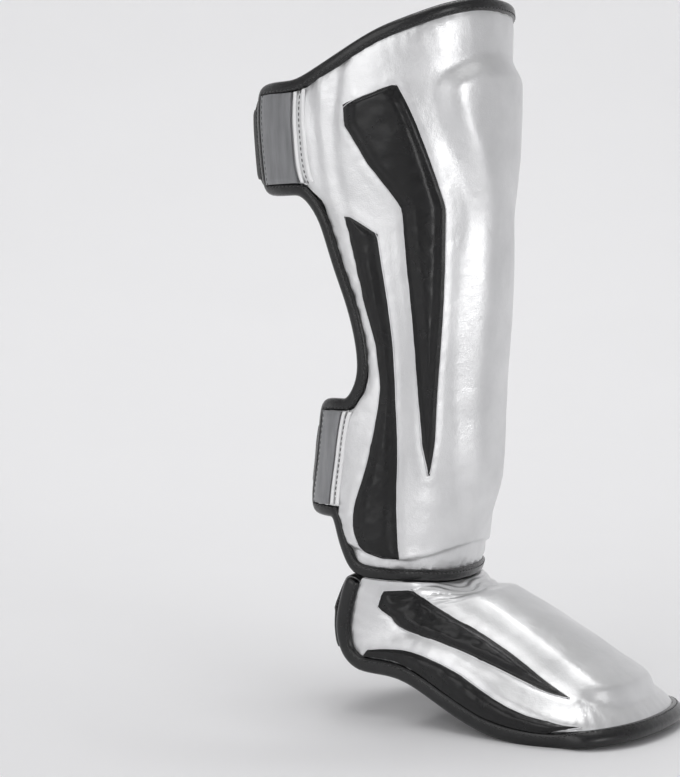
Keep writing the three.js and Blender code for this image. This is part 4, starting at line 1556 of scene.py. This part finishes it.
@dataclass(kw_only=True)
class Wings:
    """Satin tabs on the wings, their welts and stitches, and the straps round the calf.

    Seams, welts and hems are given in columns of the shin wall, and other sizes in
    millimetres.
    """

    kit: MeshKit
    form: LegForm
    shin: ShinPart
    upper_seam: float = -0.3
    lower_seam: float = 0.08
    tab_start: float = 0.62
    tab_end: float = 0.02
    tab_margin: float = 0.06
    tab_fade: float = 2.2
    welt_shifts: tuple[tuple[str, float], ...] = (("front", -0.08), ("rear", 0.4))
    welt_width: float = 1.5
    welt_height: float = 1.1
    stitch_shift: float = 0.16
    hem_shift: float = 0.22
    upper_strap: float = 46.0
    lower_strap: float = 40.0
    strap_overlap: float = 9.9
    strap_step: float = 0.5
    strap_half_depth: float = 1.2
    strap_flare: float = 0.24
    strap_stitches: tuple[float, ...] = (0.03, 0.06, 0.94, 0.97)

    def make(self) -> None:
        """Makes the tabs, the welts, the stitches and the straps."""
        form = self.form
        spans = {"upper": (self.upper_seam, form.row_at("upper_wing_foot"), form.rows),
                 "lower": (self.lower_seam, form.row_at("lower_wing_foot"),
                           form.row_at("lower_wing_top"))}
        for level, (seam, low, high) in spans.items():
            for side, sign in SIDES.items():
                self.add_tab(level, side, sign, form.rear_column + seam,
                             (low + self.tab_margin, high - self.tab_margin))
        rear, front = np.array(180.0), np.array(0.0)
        upper = form.band_height("upper_wing_foot", rear) + form.band_height("top", rear)
        lower = (form.band_height("lower_wing_foot", front)
                 + form.band_height("lower_wing_top", front))
        self.add_calf_strap("upper", self.upper_strap, upper / 2)
        self.add_calf_strap("lower", self.lower_strap, lower / 2)

    def add_tab(self, level: str, side: str, sign: int, seam: float,
                span: tuple[float, float]) -> None:
        """Satin tab at a wing's end, with two welts and a row of stitches before it.

        Args:
            level: upper or lower.
            side: the guard's side.
            sign: which way columns run on that side.
            seam: column of the seam, counted from the middle.
            span: its lowest and highest row.
        """
        form = self.form
        start, end = seam + self.tab_start, form.half - self.tab_end
        low, high = span

        def spot(column: np.ndarray, row: np.ndarray, depth: np.ndarray) -> np.ndarray:
            """Point over the wall, whose swell fades towards the wing's end.

            Args:
                column: columns from the middle.
                row: rows from the bottom.
                depth: millimetres over the wall.

            Returns:
                Points in millimetres.
            """
            angle, height = form.place(form.half + sign * column, row)
            fade = eased((form.half - column) / self.tab_fade)
            return form.point(angle, height, depth + fade * self.shin.relief(angle, height))

        def outer(column: np.ndarray, row: np.ndarray) -> np.ndarray:
            """Puffed satin face.

            Args:
                column: columns of the wall.
                row: rows of the wall.

            Returns:
                Points in millimetres.
            """
            base = spot(column, row, 0 * row)
            across = np.minimum(column - start, end - column) * 8
            edge = np.minimum(across, np.minimum(row - low, high - row) * 12)
            puff = 1.5 + 0.7 * eased(edge / 4) + 0.25 * rumple(base, (16, 16, 28), 3.9)
            return spot(column, row, puff)

        bm = self.kit.wall(np.linspace(start, end, 25), np.linspace(low, high, 61), outer,
                           lambda column, row: spot(column, row, 0 * row - 1.2))
        piece = self.kit.add(f"{level}_satin_{side}", bm, [TAB_SATIN], "satin_tab",
                             [f"{level}_tab_{side}"])
        rows = np.linspace(low, high, 40)
        for place, shift in self.welt_shifts:
            column = 0 * rows + seam + shift
            middle = spot(column, rows, 0 * rows + 0.2)
            across = unit(spot(column + 0.1, rows, 0 * rows) - spot(column - 0.1, rows, 0 * rows))
            away = unit(spot(column, rows, 0 * rows + 1.0) - spot(column, rows, 0 * rows))
            # The welts' light colour is a painted highlight on the raised strips.
            rings = [middle - sign * across * self.welt_width * math.cos(a)
                     + away * self.welt_height * math.sin(a) for a in np.arange(8) * math.pi / 4]
            self.kit.add(f"{level}_welt_{place}_{side}", self.kit.tube(np.stack(rings, 1), False),
                         [HIGHLIGHT_WELT], "silver_leather", sharp=180.0)
        # Seam stitches in dark thread, whose colour is painted shade of the stitch holes.
        line = [(spot(0 * rows + seam + self.stitch_shift, rows, 0 * rows + 1.0), False)]
        Stitching(self.kit, 3.4, 2.4, 0.95).sew(
            f"{level}_seam_stitches_{side}", line, self.kit.surface_of(self.shin.piece),
            HOLE_SHADE_THREAD, "satin_tab")
        hem = [(spot(0 * rows + end - self.hem_shift, rows, 0 * rows + 2.4), False)]
        Stitching(self.kit, 3.4, 2.4, 0.6).sew(
            f"{level}_hem_stitches_{side}", hem, self.kit.surface_of(piece), BLACK_THREAD,
            "satin_tab")

    def add_calf_strap(self, level: str, width: float, middle: float) -> None:
        """Woven strap round the calf between the ends of two wings.

        Args:
            level: upper or lower.
            width: its width.
            middle: height of its middle line.
        """
        form = self.form
        share = np.array(middle / form.height)
        turn, run = float(form.edges.read("wing", share)) - form.degrees(form.binding), 0.0
        while run < self.strap_overlap:
            turns = np.array([turn, turn + self.strap_step])
            pair = form.surface(turns, np.array([middle, middle]))
            run += float(np.linalg.norm(pair[1] - pair[0]))
            turn += self.strap_step

        def spot(column: np.ndarray, row: np.ndarray, depth: float) -> np.ndarray:
            """Point of the strap, which is thin at its edges and flares at its ends.

            Args:
                column: share along the strap.
                row: share across it.
                depth: millimetres over its middle.

            Returns:
                Points in millimetres.
            """
            angle = mixed(turn - 1.0, 361.0 - turn, column)
            edge = np.minimum(row, 1 - row) * width
            lift = depth * (0.55 + 0.45 * eased(edge / 1.6))
            slack = 0.5 * np.sin(column * np.pi * 3) * np.sin(column * np.pi)
            flare = eased(1.4 - np.minimum(column, 1 - column) / 0.09)
            wide = width * (1 + self.strap_flare * flare)
            return form.point(angle, middle + (row - 0.5) * wide, -2.5 + lift + slack)

        half = self.strap_half_depth
        bm = self.kit.wall(np.linspace(0, 1, 97), np.linspace(0, 1, 17),
                           lambda c, r: spot(c, r, half), lambda c, r: spot(c, r, -half),
                           lambda c, r: (c * 0.2, r * width * MILLIMETRE))
        piece = self.kit.add(f"{level}_strap", bm, [ELASTIC], "webbing", [f"{level}_calf_strap"])
        rows = np.linspace(0.08, 0.92, 24)
        ends = [(spot(0 * rows + column, rows, 3.0), False) for column in self.strap_stitches]
        Stitching(self.kit, 2.8, 2.1, 0.6).sew(
            f"{level}_strap_stitches", ends, self.kit.surface_of(piece), BLACK_THREAD, "webbing")


@dataclass(kw_only=True)
class FootPart(Wall):
    """Padded foot wall with its raised pad, inlays, binding, stitches and straps.

    Depths, rises and lengths are in millimetres, turns in degrees and rows in cells. Each
    line of the flap names the skin that it follows, its row and its depth.
    """

    form: FootForm
    inlays: tuple[Inlay, ...] = (FOOT_FLASH, FOOT_CORNER)
    wall_depth: float = 8.0
    edge_depth: float = 5.5
    pad_rise: float = 5.0
    pad_soft: float = 19.0
    nose_radius: float = 30.0
    nose_row: float = 15.0
    binding_start: float = 0.6
    binding_roll: float = 1.3
    fold_station: float = 0.10
    fold_draw: float = 1.3
    heel_draw: float = 0.3
    toe_draw: float = 0.22
    column_parts: tuple[tuple[int, int, int], ...] = ((0, 5, 40), (5, 6, 7), (6, 9, 16))
    row_lines: int = 145
    heel_bow: float = 9.0
    heel_depth: float = 2.4
    heel_back: float = 9.6
    heel_rows: tuple[float, float] = (4.0, 0.4)
    sole_width: float = 30.0
    sole_station: float = 0.5
    sole_turn: float = 80.0
    sole_depth: float = 2.4
    sole_sag: float = 4.0
    flap_turn: float = 52.0
    flap_depth: float = 2.2
    flap_lines: tuple[tuple[str, float, float], ...] = (
        ("foot", 2.0, 9.2), ("foot", 1.0, 9.2), ("foot", 0.0, 12.6), ("leg", 0.0, 12.6),
        ("leg", 1.0, 12.6), ("leg", 2.0, 12.6))

    def relief(self, turn: np.ndarray, station: np.ndarray) -> np.ndarray:
        """Height of the raised pad over the skin.

        Args:
            turn: degrees from the ridge.
            station: 0 at the ankle to 1 at the toe edge.

        Returns:
            Millimetres.
        """
        form, nose = self.form, self.nose_radius
        row = station * form.rows
        side = (form.pad_turn + 3 - np.abs(turn)) * math.radians(1) * form.width / 2
        toe = (self.nose_row - row) * form.length / form.rows * 1.3
        inside = nose - np.hypot(np.maximum(nose - side, 0), np.maximum(nose - toe, 0))
        over = eased(inside / self.pad_soft) * eased((row - 1.9) / 1.7)
        crown = 1 - np.clip(np.abs(turn) / form.pad_turn, 0, 1) ** 2
        fuller = 1 + 0.4 * eased((row - 8) / 5)
        return self.pad_rise * over * (0.85 + 0.25 * crown) * fuller

    def creases(self, points: np.ndarray, turn: np.ndarray, station: np.ndarray) -> np.ndarray:
        """Folds where the foot bends at the ankle, and crinkles along the lower edge.

        Args:
            points: places on the wall.
            turn: their turns.
            station: their stations.

        Returns:
            Depths to add in millimetres, negative inwards.
        """
        away = np.abs(turn)
        bend = np.exp(-((station - self.fold_station) / 0.085) ** 2) * eased((62 - away) / 25)
        drift = rumple(points, (26, 26, 26), 5.2)
        wave = station * 62 + away * 0.06 + 5 * drift
        folds = self.fold_draw * (np.abs(np.sin(wave)) ** 0.8 - 0.6) * bend
        heel = self.heel_draw * rumple(points, (16, 16, 16), 2.6) * eased((away - 45) / 20)
        toe = self.toe_draw * rumple(points, (30, 12, 12), 8.3)
        return folds + heel + toe * eased((station - 0.55) / 0.2) * eased((away - 35) / 15)

    def spot(self, turn: np.ndarray, row: np.ndarray, depth: np.ndarray) -> np.ndarray:
        """Point of the wall at a row, whose top edge is cut level.

        Args:
            turn: degrees from the ridge.
            row: rows from the ankle.
            depth: millimetres over the skin.

        Returns:
            Points in millimetres.
        """
        station = row / self.form.rows
        point = self.form.point(turn, station, depth)
        level = self.form.surface(turn, station)[:, 2]
        point[:, 2] = mixed(point[:, 2], level, np.clip(1 - row, 0, 1))
        return point

    def on_wall(self, turn: np.ndarray, station: np.ndarray, depth: np.ndarray) -> np.ndarray:
        """Point over the wall's relief."""
        return self.form.point(turn, station, depth + self.relief(turn, station))

    def make(self) -> None:
        """Makes the wall, its inlays, binding, stitches, straps and flap."""
        form = self.form
        columns = mirrored_columns(self.column_parts, form.half)
        rows = np.linspace(0, form.rows, self.row_lines)
        rim_column, rim_row = self.rim(8)
        rim = form.surface(form.column_turn(rim_column), rim_row / form.rows)
        dents = [inlay.outline(form.point, sign, 0.0)
                 for inlay in self.inlays for sign in SIDES.values()]

        def outer(column: np.ndarray, row: np.ndarray) -> np.ndarray:
            """Leather face.

            Args:
                column: columns of the wall.
                row: rows of the wall.

            Returns:
                Points in millimetres.
            """
            turn, station = form.column_turn(column), row / form.rows
            base = form.surface(turn, station)
            depth = self.relief(turn, station) + self.worked(base, rim, dents)
            return self.spot(turn, row, depth + self.creases(base, turn, station))

        def inner(column: np.ndarray, row: np.ndarray) -> np.ndarray:
            """Lining face.

            Args:
                column: columns of the wall.
                row: rows of the wall.

            Returns:
                Points in millimetres.
            """
            across = np.minimum(column, 2 * form.half - column)
            edge = np.minimum(across, np.minimum(row, form.rows - row))
            depth = mixed(self.edge_depth, self.wall_depth, np.clip(edge, 0, 1))
            return self.spot(form.column_turn(column), row, -depth)

        bm = self.kit.wall(columns, rows, outer, inner, lambda c, r: (c * 0.014, r * 0.013),
                           lined=True)
        piece = self.kit.add("instep_padding", bm, [SILVER, LINING], "silver_leather",
                             ["instep_shell"])
        for side, sign in SIDES.items():
            for inlay in self.inlays:
                self.add_inlay(inlay, side, self.on_wall, sign)
        self.add_binding()
        self.add_heel_strap()
        self.add_sole_strap()
        self.add_flap()

    def rim(self, finer: int = 1) -> tuple[np.ndarray, np.ndarray]:
        """Columns and rows of the bound rim, down one side, round the toes and up the other.

        Args:
            finer: steps for each cell.

        Returns:
            The columns and the rows.
        """
        full, last = 2 * self.form.half, self.form.rows
        columns, rows = walked([(full, 0), (full, last), (0, last), (0, 0)], finer)
        starts = np.maximum(np.array(rows + [0], float), self.binding_start)
        return np.array(columns + [0], float), starts

    def add_binding(self) -> None:
        """Rolled binding along the sides and the toes, with its stitches."""
        column, row = self.rim()
        turn = self.form.column_turn(column)
        outer = self.spot(turn, row, 0 * turn)
        inner = self.spot(turn, row, 0 * turn - self.edge_depth)
        rings = self.binding_rings(outer, inner, False, self.form.leg.binding)
        piece = self.kit.add("instep_edge_binding", self.kit.tube(rings, False), [EDGE_TAPE],
                             "binding", ["instep_binding"], levels=2, sharp=180.0)
        path = rings[:, 7] * 0.6 + rings[:, 6] * 0.4 + unit(outer - inner) * 4
        Stitching(self.kit).sew("instep_binding_stitches", [(path, False)],
                                self.kit.surface_of(piece), BLACK_THREAD, "binding")

    def add_heel_strap(self) -> None:
        """Elastic strap round the heel between the rear edges."""

        def edge(sign: int, row: np.ndarray) -> np.ndarray:
            """Point behind the middle of the wall's rear edge.

            Args:
                sign: the side.
                row: rows from the ankle.

            Returns:
                Points in millimetres.
            """
            turn = np.full(len(row), EDGE_TURN * sign)
            lining = self.spot(turn, row, 0 * row - self.edge_depth)
            middle = (self.spot(turn, row, 0 * row) + lining) / 2
            return middle - np.array([self.heel_back, 0, 0])

        def spot(column: np.ndarray, row: np.ndarray, outward: float) -> np.ndarray:
            """Point of the strap, bowed back between its ends.

            Args:
                column: share along the strap.
                row: share across it.
                outward: millimetres over its middle.

            Returns:
                Points in millimetres.
            """
            at = mixed(*self.heel_rows, row)
            near, far = edge(NEAR, at), edge(FAR, at)
            middle, half = (near + far) / 2, (far[:, 1] - near[:, 1]) / 2
            sin, cos = np.sin(column * math.pi), np.cos(column * math.pi)
            skew = (near[:, 0] - far[:, 0]) / 2
            x = middle[:, 0] - (self.heel_bow + outward) * sin - skew * cos
            return np.stack([x, middle[:, 1] + (half + outward) * cos, middle[:, 2]], -1)

        half = self.heel_depth / 2
        bm = self.kit.wall(np.linspace(0, 1, 81), np.linspace(0, 1, 25),
                           lambda c, r: spot(c, r, half), lambda c, r: spot(c, r, -half),
                           lambda c, r: (c * 0.13, r * 0.04))
        self.kit.add("heel_elastic", bm, [ELASTIC], "webbing", ["heel_strap"])

    def add_sole_strap(self) -> None:
        """Elastic strap under the arch."""
        half = self.sole_width / self.form.length / 2

        def spot(column: np.ndarray, row: np.ndarray, drop: float) -> np.ndarray:
            """Point of the strap, which sags between its ends.

            Args:
                column: share along the strap.
                row: share across it.
                drop: millimetres under its upper face.

            Returns:
                Points in millimetres.
            """
            station = self.sole_station + (row - 0.5) * 2 * half
            depth = np.full(len(row), -self.wall_depth - 0.6)
            near = self.form.point(np.full(len(row), -self.sole_turn), station, depth)
            far = self.form.point(np.full(len(row), self.sole_turn), station, depth)
            point = mixed(near, far, column[:, None])
            point[:, 2] -= np.sin(column * math.pi) * self.sole_sag + drop
            return point

        bm = self.kit.wall(np.linspace(0, 1, 65), np.linspace(0, 1, 17),
                           lambda c, r: spot(c, r, self.sole_depth), lambda c, r: spot(c, r, 0.0),
                           lambda c, r: (c * 0.11, r * 0.03))
        self.kit.add("sole_elastic", bm, [ELASTIC], "webbing", ["sole_strap"])

    def add_flap(self) -> None:
        """Soft flap inside the ankle that joins the shin wall and the foot wall."""
        form, leg = self.form, self.form.leg
        last = len(self.flap_lines) - 1

        def spot(column: np.ndarray, row: np.ndarray, inward: float) -> np.ndarray:
            """Point of the flap, between its lines on the foot's and the leg's skin.

            Args:
                column: share across the flap.
                row: its lines, from the first.
                inward: millimetres under its outer face.

            Returns:
                Points in millimetres.
            """
            angle = mixed(-self.flap_turn, self.flap_turn, column)
            lines = []
            for kind, at, depth in self.flap_lines:
                under = np.full(len(angle), -depth - inward)
                if kind == "foot":
                    turn = angle / (form.ankle_turn(np.array(EDGE_TURN)) / EDGE_TURN)
                    lines.append(form.point(turn, np.full(len(angle), at / form.rows), under))
                else:
                    height = leg.row_height(np.full(len(angle), at), angle)
                    lines.append(leg.point(angle, height, under))
            stack = np.stack(lines)
            low = np.clip(np.floor(row).astype(int), 0, last - 1)
            pick = np.arange(len(angle))
            return mixed(stack[low, pick], stack[low + 1, pick], (row - low)[:, None])

        bm = self.kit.wall(np.linspace(0, 1, 61), np.linspace(0, last, 41),
                           lambda c, r: spot(c, r, 0.0), lambda c, r: spot(c, r, self.flap_depth),
                           lambda c, r: (c * 0.1, r * 0.012))
        bmesh.ops.smooth_vert(bm, verts=bm.verts[:], factor=0.3, use_axis_x=True, use_axis_y=True,
                              use_axis_z=True)
        piece = self.kit.add("ankle_flap", bm, [LINING], "lining", ["ankle_tongue"])


@dataclass(frozen=True)
class Lamp:
    """Square soft light: its place and aim in metres, its size, and its power in watts."""

    name: str
    where: Triple
    aim: Triple
    size: float
    power: float

    def add(self) -> None:
        """Hangs the light, unseen by the camera."""
        light = bpy.data.lights.new(self.name, "AREA")
        light.size = self.size
        light.energy = self.power
        lamp = bpy.data.objects.new(self.name, light)
        bpy.context.scene.collection.objects.link(lamp)
        lamp.location = self.where
        lamp.visible_camera = False
        towards = Vector(self.aim) - Vector(self.where)
        lamp.rotation_euler = towards.to_track_quat("-Z", "Y").to_euler()


@dataclass(frozen=True)
class Studio:
    """Pale seamless floor, soft lights and the camera, in metres and degrees."""

    eye: Triple = (0.5902, -1.1583, 0.031)
    heading: float = 29.066
    pitch: float = 3.053
    lens: float = 89.9
    sensor: float = 36.0
    clip: tuple[float, float] = (0.05, 60.0)
    floor: float = -0.25
    flat_radius: float = 0.9
    curve_radius: float = 3.6
    curve_steps: int = 16
    world_colour: Triple = (0.81, 0.81, 0.815)
    world_strength: float = 0.5
    lamps: tuple[Lamp, ...] = (
        Lamp("key", (-0.5, -2.2, 0.8), (0.0, 0.0, -0.02), 1.9, 13.0),
        Lamp("front", (1.9, -1.0, 0.4), (0.0, 0.0, -0.02), 0.8, 6.0),
        Lamp("top", (0.1, -0.1, 2.3), (0.0, 0.0, 0.0), 2.0, 14.0),
        Lamp("backdrop", (-0.4, 0.7, 2.8), (-1.7, 3.0, 0.9), 1.4, 40.0))

    def make(self) -> None:
        """Makes the floor, the lights and the camera."""
        self.add_floor()
        for lamp in self.lamps:
            lamp.add()
        scene = bpy.context.scene
        scene.view_settings.view_transform = "Standard"
        scene.world = bpy.data.worlds.new("studio")
        scene.world.use_nodes = True
        sky = scene.world.node_tree.nodes["Background"]
        sky.inputs["Color"].default_value = (*self.world_colour, 1)
        sky.inputs["Strength"].default_value = self.world_strength
        self.add_camera()

    def add_floor(self) -> None:
        """Floor that curves up into a backdrop all round."""
        bm = bmesh.new()
        lines = [(0.0, 0.0), (self.flat_radius, 0.0)]
        radius = self.curve_radius
        for step in range(1, self.curve_steps + 1):
            turn = step / self.curve_steps * math.pi / 2
            lines.append((self.flat_radius + radius * math.sin(turn),
                          radius - radius * math.cos(turn)))
        verts = [bm.verts.new((x, 0, z + self.floor)) for x, z in lines]
        edges = [bm.edges.new(pair) for pair in zip(verts, verts[1:])]
        bmesh.ops.spin(bm, geom=verts + edges, axis=(0, 0, 1), cent=(0, 0, 0), angle=2 * math.pi,
                       steps=96, use_merge=True)
        bmesh.ops.remove_doubles(bm, verts=bm.verts[:], dist=1e-5)
        bmesh.ops.recalc_face_normals(bm, faces=bm.faces[:])
        for face in bm.faces:
            face.smooth = True
        mesh = bpy.data.meshes.new("floor")
        bm.to_mesh(mesh)
        bm.free()
        floor = bpy.data.objects.new("floor", mesh)
        bpy.context.scene.collection.objects.link(floor)
        n = Nodes("floor_paper", Coordinates.OBJECT)
        clouds = n.noise((3, 3, 3), 2.0)
        n.joined("Base Color", n.tinted(clouds, (0.865, 0.863, 0.872), (0.875, 0.873, 0.882)))
        n.joined("Roughness", 0.75)
        n.joined("Normal", n.bumped(n.noise((500, 500, 500), 2.0), 0.05 * MILLIMETRE, 0.3))
        mesh.materials.append(n.material)

    def add_camera(self) -> None:
        """Camera that looks along its heading, turned a little down."""
        heading, pitch = math.radians(self.heading), math.radians(self.pitch)
        right = Vector((math.cos(heading), math.sin(heading), 0))
        level = Vector((-math.sin(heading), math.cos(heading), 0))
        ahead = level * math.cos(pitch) - Vector((0, 0, math.sin(pitch)))
        up = right.cross(ahead)
        data = bpy.data.cameras.new("camera")
        data.lens = self.lens
        data.sensor_width = self.sensor
        data.clip_start, data.clip_end = self.clip
        camera = bpy.data.objects.new("camera", data)
        bpy.context.scene.collection.objects.link(camera)
        turn = Matrix((right, up, -ahead)).transposed().to_4x4()
        camera.matrix_world = Matrix.Translation(self.eye) @ turn
        bpy.context.scene.camera = camera


def main() -> None:
    """Builds every sub-assembly in order."""
    logging.basicConfig(level=logging.INFO, format="%(name)s %(message)s")
    kit = MeshKit()
    leg = LegForm()
    Studio().make()
    shin = ShinPart(kit=kit, form=leg)
    shin.make()
    Wings(kit=kit, form=leg, shin=shin).make()
    FootPart(kit=kit, form=FootForm(leg)).make()


if __name__ == "__main__":
    main()
